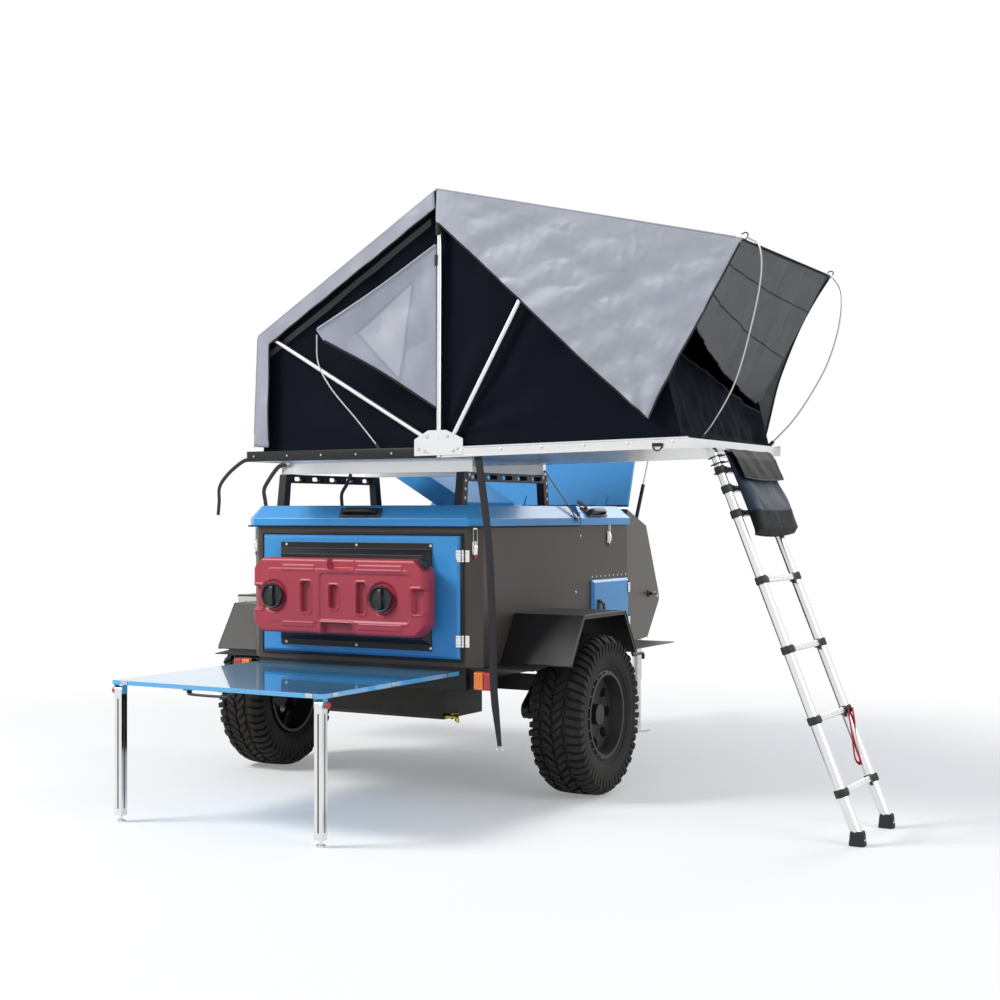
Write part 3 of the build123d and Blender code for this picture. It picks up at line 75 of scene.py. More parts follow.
# %% [markdown]
# ## Surfaces from grids of points
# Every new shape here is a grid: rows and columns of points, with a face between each four neighbours. A lathe turns
# a profile about an axis, a sweep carries an outline along a path. Whole arrays are computed at once, which is both
# short and fast. Where a row of points falls together, as at a pole, merging doubles closes the surface.

# %% Grid, lathe and sweep


def surface(grid, close_u=False, close_v=False):
    """Faces between neighbours of a grid (rows, columns, 3). close_u joins the last row to the first, close_v the
    last column."""
    rows, cols = grid.shape[:2]
    index = np.arange(rows * cols).reshape(rows, cols)
    if close_u:
        index = np.vstack([index, index[:1]])
    if close_v:
        index = np.hstack([index, index[:, :1]])
    quads = np.stack([index[:-1, :-1], index[1:, :-1], index[1:, 1:], index[:-1, 1:]], -1).reshape(-1, 4)
    return grid.reshape(-1, 3), quads


def unit(v):
    """A vector, or a row of vectors, divided by its length."""
    v = np.asarray(v, float)
    return v / np.linalg.norm(v, axis=-1, keepdims=True)


def lathe(profile, centre, axis, count=48, loop=False):
    """Each profile point (along, radius) turned once: centre + along * axis + radius * (cos a * u + sin a * v)."""
    profile = np.asarray(profile, float)
    axis = unit(axis)
    u = unit(np.cross(axis, (0.31, 0.52, 0.79)))
    v = np.cross(axis, u)
    a = np.linspace(0, 2 * pi, count, endpoint=False)
    ring = np.cos(a)[:, None] * u + np.sin(a)[:, None] * v
    grid = np.asarray(centre) + profile[:, None, :1] * axis + profile[:, None, 1:] * ring[None]
    return surface(grid, close_u=loop, close_v=True)


def sweep(path, section, up=(0, 0, 1), size=None, loop=False):
    """An outline (side, top) carried along a path: point + side * (direction x up) + top * (its normal).
    The ends shrink to the path's own end points, which closes them."""
    path = np.asarray(path, float)
    section = np.asarray(section, float)
    along = unit(np.roll(path, -1, 0) - np.roll(path, 1, 0) if loop else np.gradient(path, axis=0))
    side = unit(np.cross(along, up))
    top = np.cross(side, along)
    size = np.ones(len(path)) if size is None else np.asarray(size, float)
    grid = (path[:, None] + size[:, None, None]
            * (section[None, :, :1] * side[:, None] + section[None, :, 1:] * top[:, None]))
    if not loop:
        ends = [np.repeat(path[i][None, None], len(section), 1) for i in (0, -1)]
        grid = np.concatenate([ends[0], grid, ends[1]])
    return surface(grid, close_u=loop, close_v=True)


def circle(radius, count=16):
    """Points of a circle."""
    a = np.linspace(0, 2 * pi, count, endpoint=False)
    return radius * np.stack([np.cos(a), np.sin(a)], -1)


def rounded(width, height, r, steps=4):
    """Outline of a rectangle with round corners: four quarter circles about the inset corners."""
    a = np.linspace(0, pi / 2, steps)
    arcs = [np.stack([sx * (width / 2 - r) + r * np.cos(a + t), sy * (height / 2 - r) + r * np.sin(a + t)], -1)
            for sx, sy, t in ((1, 1, 0), (-1, 1, pi / 2), (-1, -1, pi), (1, -1, 3 * pi / 2))]
    return np.concatenate(arcs)


def curve(points, count=40):
    """A smooth line through points: cubic pieces whose slope at a point is half the step between its neighbours."""
    p = np.asarray(points, float)
    q = np.vstack([2 * p[0] - p[1], p, 2 * p[-1] - p[-2]])
    t = np.linspace(0, len(p) - 1 - 1e-9, count)
    i = t.astype(int)
    f = (t - i)[:, None]
    a, b, c, d = q[i], q[i + 1], q[i + 2], q[i + 3]
    return 0.5 * (2 * b + (c - a) * f + (2 * a - 5 * b + 4 * c - d) * f ** 2 + (3 * b - a - 3 * c + d) * f ** 3)


def slab(low, high):
    """The six faces of a box between two corners."""
    x, y, z = [np.array(p) for p in zip(low, high)]
    grid = np.array([[x[i], y[j], z[k]] for k in (0, 1) for j in (0, 1) for i in (0, 1)], float)
    return grid, np.array([[0, 2, 3, 1], [4, 5, 7, 6], [0, 1, 5, 4], [2, 6, 7, 3], [0, 4, 6, 2], [1, 3, 7, 5]])


def ripple(p, seed, length, count=7):
    """A smooth random height for points: the sum of plane waves with random direction, length and phase."""
    r = np.random.default_rng(seed)
    k = unit(r.normal(size=(count, 3))) * 2 * pi / (length * r.uniform(0.6, 1.7, (count, 1)))
    return np.sin(p @ k.T + r.uniform(0, 2 * pi, count)).sum(-1) / count ** 0.5


def crease(p, seed, length, count=5):
    """Sharp-edged wrinkles: one minus the height of a ripple without its sign, so the folds meet in ridges."""
    return 1 - np.abs(ripple(p, seed, length, count))


# %% [markdown]
# ## From arrays to pieces
# A piece gathers its surfaces in one mesh, closes seams by merging doubles, turns faces outwards and rides on the
# CAD body that it is bolted to. A small bevel gives folded sheet metal the bright edge that the eye looks for.

# %% Make a piece


def smooth(mesh, angle):
    """Smooth shading with sharp edges where two faces meet at more than an angle in degrees."""
    mesh.polygons.foreach_set("use_smooth", np.ones(len(mesh.polygons), bool))
    mesh.set_sharp_from_angle(angle=radians(angle))


def show(name, mesh):
    """A new object in the scene, at the origin."""
    obj = bpy.data.objects.new(name, mesh)
    bpy.context.scene.collection.objects.link(obj)
    return obj


def piece(name, shapes, finishes, body="trailer", uv=None, angle=35, bevel=0.0, thick=0.0, merge=True):
    """One object from surfaces (points, faces[, finish number]) given from the body's centre plane and rear face."""
    mesh = bpy.data.meshes.new(name)
    points, faces, kinds, base = [], [], [], 0
    for shape in shapes:
        points.append(np.asarray(shape[0]) + SHIFT)
        faces.extend((np.asarray(shape[1]) + base).tolist())
        kinds.extend([shape[2] if len(shape) > 2 else 0] * len(shape[1]))
        base += len(shape[0])
    mesh.from_pydata(np.concatenate(points).tolist(), [], faces)
    mesh.polygons.foreach_set("material_index", kinds)
    if uv is not None:
        corner = np.empty(len(mesh.loops), int)
        mesh.loops.foreach_get("vertex_index", corner)
        mesh.uv_layers.new(name="cloth").data.foreach_set("uv", np.asarray(uv, np.float32)[corner].ravel())
    if merge:
        bm = bmesh.new()
        bm.from_mesh(mesh)
        bmesh.ops.remove_doubles(bm, verts=bm.verts, dist=2e-5)
        bmesh.ops.dissolve_degenerate(bm, edges=bm.edges, dist=1e-6)
        bmesh.ops.recalc_face_normals(bm, faces=bm.faces)
        bm.to_mesh(mesh)
        bm.free()
    smooth(mesh, angle)
    obj = show(name, mesh)
    for coat in finishes if isinstance(finishes, (list, tuple)) else [finishes]:
        mesh.materials.append(coat)
    if thick:
        wall = obj.modifiers.new("thickness", "SOLIDIFY")
        wall.thickness = thick
        wall.offset = 0
    if bevel:
        edge = obj.modifiers.new("edges", "BEVEL")
        edge.width = bevel
        edge.segments = 2
        edge.limit_method = "ANGLE"
        edge.harden_normals = True
    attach(obj, body)
    return obj


def rounded_copy(node, coat, width, body, slot):
    """A copy of a CAD solid with its triangles merged into flat faces, whose edges then get a small round."""
    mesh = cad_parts[node].data.copy()
    bm = bmesh.new()
    bm.from_mesh(mesh)
    bmesh.ops.remove_doubles(bm, verts=bm.verts, dist=2e-5)
    bmesh.ops.dissolve_limit(bm, angle_limit=radians(0.3), verts=bm.verts, edges=bm.edges)
    bm.to_mesh(mesh)
    bm.free()
    obj = show(node + "_shaped", mesh)
    smooth(mesh, FOLD_ANGLE)
    mesh.materials.clear()
    mesh.materials.append(coat)
    edge = obj.modifiers.new("edges", "BEVEL")
    edge.width = width
    edge.segments = 3
    edge.limit_method = "ANGLE"
    edge.angle_limit = radians(FOLD_ANGLE)
    edge.harden_normals = True
    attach(obj, body)
    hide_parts(node)
    return obj


# %% [markdown]
# ## Finishes
# A finish is a short chain: a slow noise shifts the colour, a finer one the roughness, and a bump gives the grain
# that the hand would feel. Dust is a tint that thickens towards the ground. Everything reads Object coordinates,
# since all pieces share one origin. Cloth, further down, has a recipe of its own, whose weave follows its map.

# %% Node chains


def wire(tree, kind, setup=None, **sockets):
    """Adds a node; a socket gets a value, or a link where the value is another node's output."""
    made = tree.nodes.new(kind)
    for key, value in (setup or {}).items():
        setattr(made, key, value)
    for key, value in sockets.items():
        target = made.inputs[int(key[1:])] if key[1:].isdigit() else made.inputs[key.replace("_", " ")]
        if isinstance(value, bpy.types.NodeSocket):
            tree.links.new(value, target)
        else:
            target.default_value = value
    return made


def tone(colour, factor):
    """A colour with each part multiplied by factor."""
    return (*[min(1.0, c * factor) for c in colour[:3]], 1.0)


def calc(tree, operation, first, second=0.5):
    """One arithmetic node: operation(first, second)."""
    return wire(tree, "ShaderNodeMath", {"operation": operation}, i0=first, i1=second).outputs[0]


def span(tree, value, low, high, to_low, to_high):
    """A value carried to another range: to_low + (value - low) / (high - low) * (to_high - to_low)."""
    return wire(tree, "ShaderNodeMapRange", Value=value, i1=low, i2=high, i3=to_low, i4=to_high).outputs[0]


def blend(tree, share, first, second):
    """Two colours mixed by a share."""
    return wire(tree, "ShaderNodeMix", {"data_type": "RGBA"}, Factor=share, i6=first, i7=second).outputs[2]


def noise(tree, place, scale, **more):
    """A noise from 0 to 1."""
    return wire(tree, "ShaderNodeTexNoise", Vector=place, Scale=scale, **more).outputs["Fac"]


def relief(tree, strength, distance, height, **more):
    """A normal bent by a height."""
    return wire(tree, "ShaderNodeBump", Strength=strength, Distance=distance, Height=height, **more).outputs[0]


def blank(name):
    """A material with an empty tree."""
    mat = bpy.data.materials.new(name)
    mat.use_nodes = True
    mat.node_tree.nodes.clear()
    return mat, mat.node_tree


def finish(name, colour, rough=0.5, metal=0.0, spread=0.12, patch=3.0, grain=220.0, bump=0.15, stretch=(1, 1, 1),
           dust=0.0, **extra):
    """Paint, metal or plastic. stretch squeezes the grain along an axis, dust is the share of dust at the ground."""
    mat, tree = blank(name)
    place = wire(tree, "ShaderNodeTexCoord").outputs["Object"]
    slow = noise(tree, place, patch, Detail=4.0)
    base = blend(tree, slow, tone(colour, 1 - spread), tone(colour, 1 + spread))
    if dust:
        height = wire(tree, "ShaderNodeSeparateXYZ", Vector=place).outputs["Z"]
        cloud = noise(tree, place, 9.0, Detail=8.0, Roughness=0.7)
        veil = calc(tree, "MULTIPLY", span(tree, height, 0.1, 1.3, dust, 0.0), cloud)
        base = blend(tree, veil, base, (0.30, 0.25, 0.19, 1))
    fine = noise(tree, wire(tree, "ShaderNodeMapping", Vector=place, Scale=stretch).outputs[0], grain, Detail=3.0)
    gloss = span(tree, fine, 0.25, 0.75, max(0.02, rough * 0.92), min(1.0, rough * 1.1))
    shade = wire(tree, "ShaderNodeBsdfPrincipled", Base_Color=base, Roughness=gloss, Metallic=metal,
                 Normal=relief(tree, bump, 0.0006, fine), **extra)
    wire(tree, "ShaderNodeOutputMaterial", Surface=shade.outputs[0])
    return mat


# %% [markdown]
# ## Paints and metals of the trailer
# Blue panels are a glossy car paint: a coloured base under a clear coat, which is the shader's coat. The table's top
# is a lighter copy of that blue, and its extra lightness is a painted highlight. The body is a textured charcoal
# powder coat, so it gets a coarse bump and a little metal. Chassis, rack and fenders are black powder coat. Bare
# steel and aluminium are full metals whose grain is stretched along the rolled direction.

# %% The finishes
blue_paint = finish("blue_paint", (0.048, 0.275, 0.60), rough=0.34, spread=0.05, grain=90, bump=0.03, dust=0.05,
                    Coat_Weight=0.10, Coat_Roughness=0.08, Specular_IOR_Level=0.26)
# Painted highlight: the table's blue paint is made lighter for the strong reflection on its top; the full clear coat is
# real gloss.
table_blue_and_painted_highlight = finish("table_blue_and_painted_highlight", (0.085, 0.38, 0.70), rough=0.16, spread=0.05, grain=60, bump=0.02, Coat_Weight=1.0,
                     Coat_Roughness=0.03)
charcoal_paint = finish("charcoal_paint", (0.068, 0.058, 0.051), rough=0.42, metal=0.25, spread=0.14, patch=2.2,
                        grain=520,
                        bump=0.5, dust=0.12, Specular_IOR_Level=0.22)
black_paint = finish("black_paint", (0.008, 0.0085, 0.010), rough=0.40, spread=0.25, grain=600, bump=0.45, dust=0.07,
                     Specular_IOR_Level=0.3)
black_plastic = finish("black_plastic", (0.008, 0.0085, 0.010), rough=0.5, spread=0.15, grain=900, bump=0.3)
tank_paint = finish("tank_coating", (0.014, 0.012, 0.010), rough=0.5, spread=0.25, grain=500, bump=0.5, dust=0.16,
                    Specular_IOR_Level=0.25)
steel = finish("brushed_steel", (0.55, 0.55, 0.54), rough=0.34, metal=1.0, spread=0.08, grain=260, bump=0.12,
               stretch=(0.04, 1, 1))
zinc = finish("zinc_plate", (0.62, 0.62, 0.60), rough=0.30, metal=1.0, spread=0.18, patch=40, grain=300, bump=0.1)
chrome = finish("polished_chrome", (0.78, 0.78, 0.77), rough=0.07, metal=1.0, spread=0.04, grain=30, bump=0.02)
aluminium = finish("aluminium", (0.74, 0.75, 0.76), rough=0.32, metal=1.0, spread=0.04, grain=160, bump=0.02,
                   stretch=(1, 1, 0.2))
rail_aluminium = finish("drawn_aluminium", (0.76, 0.76, 0.77), rough=0.26, metal=1.0, spread=0.03, grain=24, bump=0.01)
brass = finish("brass", (0.62, 0.42, 0.10), rough=0.3, metal=1.0, spread=0.12, patch=30)
red_plastic = finish("red_can", (0.36, 0.030, 0.050), rough=0.42, spread=0.10, patch=6, grain=420, bump=0.35)
red_cover = finish("red_grip", (0.45, 0.02, 0.02), rough=0.35, spread=0.1, patch=30)
blue_lever = finish("blue_lever", (0.01, 0.05, 0.32), rough=0.35, spread=0.1, patch=30)
rubber_seal = finish("rubber_seal", (0.010, 0.010, 0.011), rough=0.75, spread=0.2, grain=300)
lens_red = finish("red_lens", (0.42, 0.012, 0.018), rough=0.22, spread=0.12, patch=60, grain=60, bump=0.3,
                  Coat_Weight=0.8)
lens_orange = finish("orange_lens", (0.80, 0.20, 0.015), rough=0.22, spread=0.12, patch=60, grain=60, bump=0.3,
                     Coat_Weight=0.8)
print("paints and metals:", len(bpy.data.materials))

# %% [markdown]
# ## Camera and light
# The camera stands 1.4 m up and looks level, 32 degrees round from straight behind, with the shifted lens of a
# picture that was cut out and centred again. The light is a pale sky from everywhere, a large soft lamp high behind
# the camera's left shoulder, and two weaker ones, from the right and from behind the trailer. The floor is pale,
# keeps the shadow near the wheels and fades to white.

# %% Camera, lamps and floor
view_data = bpy.data.cameras.new("camera")
view_data.lens = 59.73
view_data.sensor_width = 36.0
view_data.shift_x = 0.1652
view_data.shift_y = 0.0133
camera = bpy.data.objects.new("camera", view_data)
camera.location = (3.890, -8.255, 1.401)
camera.rotation_euler = (radians(90), 0, radians(32.417))
bpy.context.scene.collection.objects.link(camera)
bpy.context.scene.camera = camera
bpy.context.scene.view_settings.view_transform = "Standard"


def lamp(name, size, power, place, aim, colour=(1, 1, 1)):
    """A square soft lamp that points at a spot."""
    data = bpy.data.lights.new(name, "AREA")
    data.size = size
    data.energy = power
    data.color = colour
    obj = bpy.data.objects.new(name, data)
    obj.location = place
    way = np.array(aim) - np.array(place)
    obj.rotation_euler = (np.arctan2(np.hypot(way[0], way[1]), -way[2]), 0, np.arctan2(way[0], -way[1]) + pi)
    bpy.context.scene.collection.objects.link(obj)


def background_rays(tree):
    """1 for a ray that looks at the background, straight or by metal or glass: max(camera, glossy, transmission)."""
    rays = wire(tree, "ShaderNodeLightPath").outputs
    direct = calc(tree, "MAXIMUM", rays["Is Camera Ray"], rays["Is Glossy Ray"])
    return calc(tree, "MAXIMUM", direct, rays["Is Transmission Ray"])


lamp("key", 3.0, 880, (-5.5, -6.5, 7.5), (0, 0, 1.2), (1.0, 0.98, 0.95))
lamp("fill", 5.0, 260, (8.0, -3.0, 5.0), (0, 0, 1.2), (0.94, 0.97, 1.0))
lamp("rim", 4.0, 260, (2.0, 8.0, 6.0), (0, 0, 1.5))
world = bpy.data.worlds.new("pale_sky")
bpy.context.scene.world = world
world.use_nodes = True
sky = world.node_tree
sky.nodes.clear()
seen = background_rays(sky)
soft = wire(sky, "ShaderNodeBackground", Color=(0.80, 0.87, 0.97, 1), Strength=0.46)
white = wire(sky, "ShaderNodeBackground", Color=(1, 1, 1, 1), Strength=1.0)
both = wire(sky, "ShaderNodeMixShader", Fac=seen, i1=soft.outputs[0], i2=white.outputs[0])
wire(sky, "ShaderNodeOutputWorld", Surface=both.outputs[0])

FLOOR_RADIUS, FLOOR_DROP = 60.0, -0.001
floor_mesh = bpy.data.meshes.new("floor")
turn = np.linspace(0, 2 * pi, 64, endpoint=False)
disc = np.stack([FLOOR_RADIUS * np.cos(turn), FLOOR_RADIUS * np.sin(turn), np.full(64, FLOOR_DROP)], -1)
floor_mesh.from_pydata(disc.tolist(), [], [list(range(64))])
floor = show("floor", floor_mesh)
pale, ground = blank("pale_floor")
where = wire(ground, "ShaderNodeTexCoord").outputs["Object"]
away = wire(ground, "ShaderNodeVectorMath", {"operation": "LENGTH"}, i0=where).outputs["Value"]
grit = noise(ground, where, 30.0)
matt = span(ground, grit, 0.0, 1.0, 0.8, 0.95)
near = wire(ground, "ShaderNodeBsdfPrincipled", Base_Color=(0.86, 0.86, 0.86, 1), Roughness=matt)
glow = wire(ground, "ShaderNodeEmission", Color=(1, 1, 1, 1), Strength=1.0)
fade = wire(ground, "ShaderNodeMapRange", {"interpolation_type": "SMOOTHSTEP"}, Value=away, i1=2.0, i2=5.5, i3=0.25,
            i4=1.0).outputs[0]
share = calc(ground, "MULTIPLY", fade, background_rays(ground))
mixed = wire(ground, "ShaderNodeMixShader", Fac=share, i1=near.outputs[0], i2=glow.outputs[0])
wire(ground, "ShaderNodeOutputMaterial", Surface=mixed.outputs[0])
floor_mesh.materials.append(pale)
floor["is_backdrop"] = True
print("camera at", tuple(camera.location))

# %% [markdown]
# ## Painted panels
# Lids, doors and walls of the real trailer are folded sheet, whose corners are never knife sharp. A copy of each CAD
# solid, with its triangles merged into flat faces, takes a round of one to four millimetres. The rest of the CAD
# keeps its own mesh and only gets a finish.

# %% Panels with rounded folds
shaped = [
    ("lid_rear", blue_paint, 0.004, "trailer", "blue_paint"),
    ("lid_left", blue_paint, 0.004, "wing_left", "blue_paint"),
    ("lid_right", blue_paint, 0.004, "wing_right", "blue_paint"),
    ("nose_lid", blue_paint, 0.004, "nose_cover", "blue_paint"),
    ("rear_door", blue_paint, 0.004, "back_door", "blue_paint"),
    ("side_hatch", blue_paint, 0.003, "side_flap", "blue_paint"),
    ("table_top", table_blue_and_painted_highlight, 0.004, "trailer", "blue_paint"),
    ("nose_shell", charcoal_paint, 0.004, "trailer", "charcoal_paint"),
    ("wall_rear", charcoal_paint, 0.003, "trailer", "charcoal_paint"),
    ("wall_left", charcoal_paint, 0.003, "trailer", "charcoal_paint"),
    ("wall_right", charcoal_paint, 0.003, "trailer", "charcoal_paint"),
    ("roof_frame", charcoal_paint, 0.002, "trailer", "charcoal_paint"),
    ("fender_left", black_paint, 0.003, "trailer", "black_paint"),
    ("fender_right", black_paint, 0.003, "trailer", "black_paint"),
    ("rack_hoop_left", black_paint, 0.002, "trailer", "black_paint"),
    ("rack_hoop_right", black_paint, 0.002, "trailer", "black_paint"),
    ("chassis_frame", black_paint, 0.002, "trailer", "black_paint"),
    ("pack_bracket", black_paint, 0.0015, "back_door", "black_paint"),
    ("side_drawer", steel, 0.0015, "kitchen_tray", "steel"), ("table_leg_left", chrome, 0.002, "leg_left", "chrome"),
    ("table_leg_right", chrome, 0.002, "leg_right", "chrome"),
    ("water_tank", tank_paint, 0.004, "trailer", "black_paint"),
    ("crossbar_rear", aluminium, 0.001, "trailer", "aluminium"),
    ("crossbar_front", aluminium, 0.001, "trailer", "aluminium"),
]
copies = {node: rounded_copy(node, coat, width, body, slot) for node, coat, width, body, slot in shaped}
WALL_RIM, RIM_DROP = 1.337, 0.0015  # the closed wing rests on this rim, so the dressed rim is a little lower
wall_mesh = copies["wall_left"].data
corners = np.empty(3 * len(wall_mesh.vertices), np.float32)
wall_mesh.vertices.foreach_get("co", corners)
corners[2::3] -= RIM_DROP * (corners[2::3] > WALL_RIM)
wall_mesh.vertices.foreach_set("co", corners)
plain = {
    "tow_eye": black_paint, "jack": zinc, "axle_beam": black_paint, "arm_left": black_paint, "arm_right": black_paint,
    "rim_left": black_paint, "rim_right": black_paint, "body_floor": charcoal_paint, "strut_cylinder": black_paint,
    "strut_rod": chrome, "drawer_runners": zinc, "tent_base_left": aluminium, "tent_base_right": aluminium,
    "tent_frame": aluminium,
}
for node, coat in plain.items():
    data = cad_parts[node].data
    data.materials.clear()
    data.materials.append(coat)
print("panels:", len(shaped), "CAD meshes with a finish:", len(plain))

# %% [markdown]
# ## Tyres
# The carcass is a lathe whose profile is the section of an off-road tyre: bead, a bulging side wall with two fine
# rings, the shoulder and a crowned tread base. The lugs are blocks in four rows. Shoulder lugs wrap over the edge and
# alternate in length, the middle rows are staggered and turned a little, which gives the chevron look. A point of a
# lug at angle a, width w and radius r sits at (w, r cos a, r sin a), so all lugs are one array.

# %% Carcass and lugs
tyre_rubber = finish("tyre_rubber", (0.0085, 0.0088, 0.0095), rough=0.70, spread=0.25, patch=9, grain=300, bump=0.5,
                     dust=0.10,
                     Specular_IOR_Level=0.2)
HALF = 0.1325
section = [(0.088, 0.216), (0.106, 0.220), (0.112, 0.232), (0.118, 0.244), (0.119, 0.249), (0.122, 0.250),
           (0.129, 0.272), (0.1315, 0.296),
           (0.131, 0.312), (0.1325, 0.314), (0.1325, 0.318), (0.130, 0.321), (0.127, 0.338), (0.119, 0.358),
           (0.107, 0.373), (0.085, 0.3815),
           (0.045, 0.385), (0, 0.386)]
section = np.vstack([section, np.array(section)[-2::-1] * (-1, 1), [(-0.07, 0.212), (0.07, 0.212)]])


def lugs(count, start, rows, skew=0.0, wrap=0.0, chamfer=0.85):
    """count blocks round the tread. rows = list of (w inner, w outer, share of the pitch); the foot is wider than the
    top, wrap carries the outer end down over the shoulder, skew turns the block: a + skew * (w - middle)."""
    pitch = 2 * pi / count
    shapes = []
    for w0, w1, share in rows:
        w = np.linspace(w0, w1, 5)
        t = (np.abs(w) - 0.095).clip(0) / (HALF - 0.095)
        top = 0.400 - 0.004 * (np.abs(w) / 0.095) ** 2 - wrap * t ** 1.6
        base = np.where(np.abs(w) > 0.1, 0.372 - 0.06 * t, 0.378) - 0.002
        lip = np.sign(w) * (0.004 * (t > 0.9))
        a = start + pitch * np.arange(count)
        half = pitch * share / 2
        cross = np.stack([np.stack([w, base, np.full(5, -half)], -1),
                          np.stack([w + lip, top, np.full(5, -half * chamfer)], -1),
                          np.stack([w + lip, top, np.full(5, half * chamfer)], -1),
                          np.stack([w, base, np.full(5, half)], -1)], 1)
        cross[..., 2] += (skew * (w - (w0 + w1) / 2) * np.sign(w0 + w1))[:, None]
        turn = a[:, None, None] + cross[None, ..., 2]
        r = np.broadcast_to(cross[None, ..., 1], turn.shape)
        grid = np.stack([np.broadcast_to(cross[None, ..., 0], turn.shape), r * np.cos(turn), r * np.sin(turn)], -1)
        quad = surface(np.zeros((5, 4, 3)), close_v=True)[1]
        ends = np.array([[0, 1, 2, 3], [16, 19, 18, 17]])
        faces = np.concatenate([quad, ends])
        shapes.append((grid.reshape(-1, 3), (faces[None] + 20 * np.arange(count)[:, None, None]).reshape(-1, 4)))
    return shapes


pieces_round = []
for start, long in ((0.0, 0.066), (2 * pi / 56, 0.076)):
    pieces_round += lugs(28, start, [(long, 0.1325, 0.36)], skew=0.6, wrap=0.034 if long < 0.07 else 0.022)
    pieces_round += lugs(28, start + 0.056, [(-long, -0.1325, 0.36)], skew=0.6, wrap=0.034 if long < 0.07 else 0.022)
for start, low, high in ((0.03, 0.010, 0.056), (0.142, 0.004, 0.046)):
    pieces_round += lugs(28, start, [(low, high, 0.38)], skew=-2.2)
    pieces_round += lugs(28, start + 0.05, [(-low, -high, 0.38)], skew=-2.2)
for side, x in (("left", -WHEEL_X), ("right", WHEEL_X)):
    centre = np.array([x, WHEEL_Y, WHEEL_Z])
    flip = np.array([1.0 if x > 0 else -1.0, 1, 1])
    carcass = lathe(section, centre, (1, 0, 0), 112, loop=True)
    blocks = [(points * flip + centre, faces) for points, faces in pieces_round]
    tyre = piece(f"road_tyre_{side}", [carcass] + blocks, tyre_rubber, f"wheel_{side}", angle=32)
    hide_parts(f"tyre_{side}")
print("tyre faces:", len(tyre.data.polygons))

# %% [markdown]
# ## Wheel fittings
# A beadlock look: a raised ring at the rim's edge, held by twenty-four small bolts. Hex heads are six-sided lathes
# with a small crown. The dished disc with its eight round holes and its plain cap is the CAD's own.

# %% Rings and bolts


def hex_head(centre, axis, r, h, washer=1.35):
    """A hex bolt head on a washer: washer and head are lathes, the head with six sides."""
    return [lathe([(0, 0), (0, r * washer), (h * 0.25, r * washer), (h * 0.25, 0)], centre, axis, 14),
            lathe([(0, 0), (0, r), (h * 0.85, r), (h, r * 0.85), (h, 0)], centre, axis, 6)]


def round_screw(centre, axis, r=0.0045, h=0.003):
    """A pan-head screw: a low dome with a small socket in its middle."""
    return [lathe([(0, 0), (0, r), (h * 0.5, r), (h, r * 0.6), (h, r * 0.32), (h * 0.3, r * 0.3), (h * 0.3, 0)], centre,
                  axis, 10)]


for side, x in (("left", -1), ("right", 1)):
    face = WHEEL_X * x
    out = (x, 0, 0)
    heads = [(face + x * 0.109, WHEEL_Y + 0.2125 * cos(a), WHEEL_Z + 0.2125 * sin(a)) for a in np.arange(24) * pi / 12]
    ring = lathe([(0.098, 0.196), (0.108, 0.198), (0.111, 0.206), (0.111, 0.219), (0.104, 0.226), (0.094, 0.225)],
                 (face, WHEEL_Y, WHEEL_Z), out, 96, loop=True)
    piece(f"bead_ring_{side}", [ring], black_paint, f"wheel_{side}")
    bolts = [s for head in heads for s in hex_head(head, out, 0.0048, 0.005)]
    piece(f"ring_bolts_{side}", bolts, zinc, f"wheel_{side}")
print("bead rings done")

# %% [markdown]
# ## The red fluid pack
# A blow-moulded can: front and back are one height field over a rectangle with cut corners. Slots and recesses are
# smooth steps: a box function raised from soft edges, so the plastic seems to flow round them. The field is
# d(x, z) = sum of depth * step(distance inside the box), with ribs raised and grips sunk.

# %% The can as a height field


def inside(x, z, box, soft=0.006, round_by=0.0):
    """1 inside a rectangle (x0, x1, z0, z1), 0 outside, with a smooth edge; the corners follow the round distance."""
    cx, cz = (box[0] + box[1]) / 2, (box[2] + box[3]) / 2
    dx, dz = np.abs(x - cx) - (box[1] - box[0]) / 2 + round_by, np.abs(z - cz) - (box[3] - box[2]) / 2 + round_by
    d = np.hypot(dx.clip(0), dz.clip(0)) + np.minimum(np.maximum(dx, dz), 0) - round_by
    t = (0.5 - d / soft).clip(0, 1)
    return t * t * (3 - 2 * t)


CAN = (-0.506, 0.476, 0.808, 1.180)
u, v = np.meshgrid(np.linspace(0, 1, 260), np.linspace(0, 1, 110))
x, z = CAN[0] + (CAN[1] - CAN[0]) * u, CAN[2] + (CAN[3] - CAN[2]) * v
deep = np.zeros_like(x)
for box in ((-.214, -.163, .915, 1.062), (-.052, -.006, .936, 1.046), (.105, .152, .915, 1.062)):
    deep += 0.024 * inside(x, z, box, 0.012, 0.012)
    grown = (box[0] - .012, box[1] + .012, box[2] - .012, box[3] + .012)
    deep -= 0.004 * (inside(x, z, grown, 0.008, 0.018) - inside(x, z, box, 0.012, 0.012))
for box in ((-.329, -.138, 1.118, 1.146), (.114, .36, 1.119, 1.149), (-.329, -.138, .841, .865),
            (.114, .36, .836, .865)):
    deep -= 0.0035 * inside(x, z, box, 0.005, 0.004)
for box in ((-.057, .081, 1.128, 1.30), (-.096, .079, .60, .862), (.412, .60, .925, 1.036), (-.70, -.452, .925, 1.036)):
    deep += 0.030 * inside(x, z, box, 0.014, 0.014)
    deep -= 0.004 * inside(x, z, (box[0] - .014, box[1] + .014, box[2] - .014, box[3] + .014), 0.010, 0.018)
deep += (0.006 * inside(x, z, (-.107, .40, .876, 1.106), 0.012, 0.02)
         - 0.003 * inside(x, z, (-.42, .40, .862, 1.128), 0.008, 0.02))
for knob in KNOBS.values():
    deep += 0.008 * (1 - ((np.hypot(x - knob[0], z - knob[1]) - 0.072) / 0.012).clip(0, 1))
edge = np.minimum(np.minimum(x - CAN[0], CAN[1] - x), np.minimum(z - CAN[2], CAN[3] - z)).clip(0, 0.018)
deep += 0.018 * (1 - np.sqrt((1 - (1 - edge / 0.018) ** 2).clip(0)))
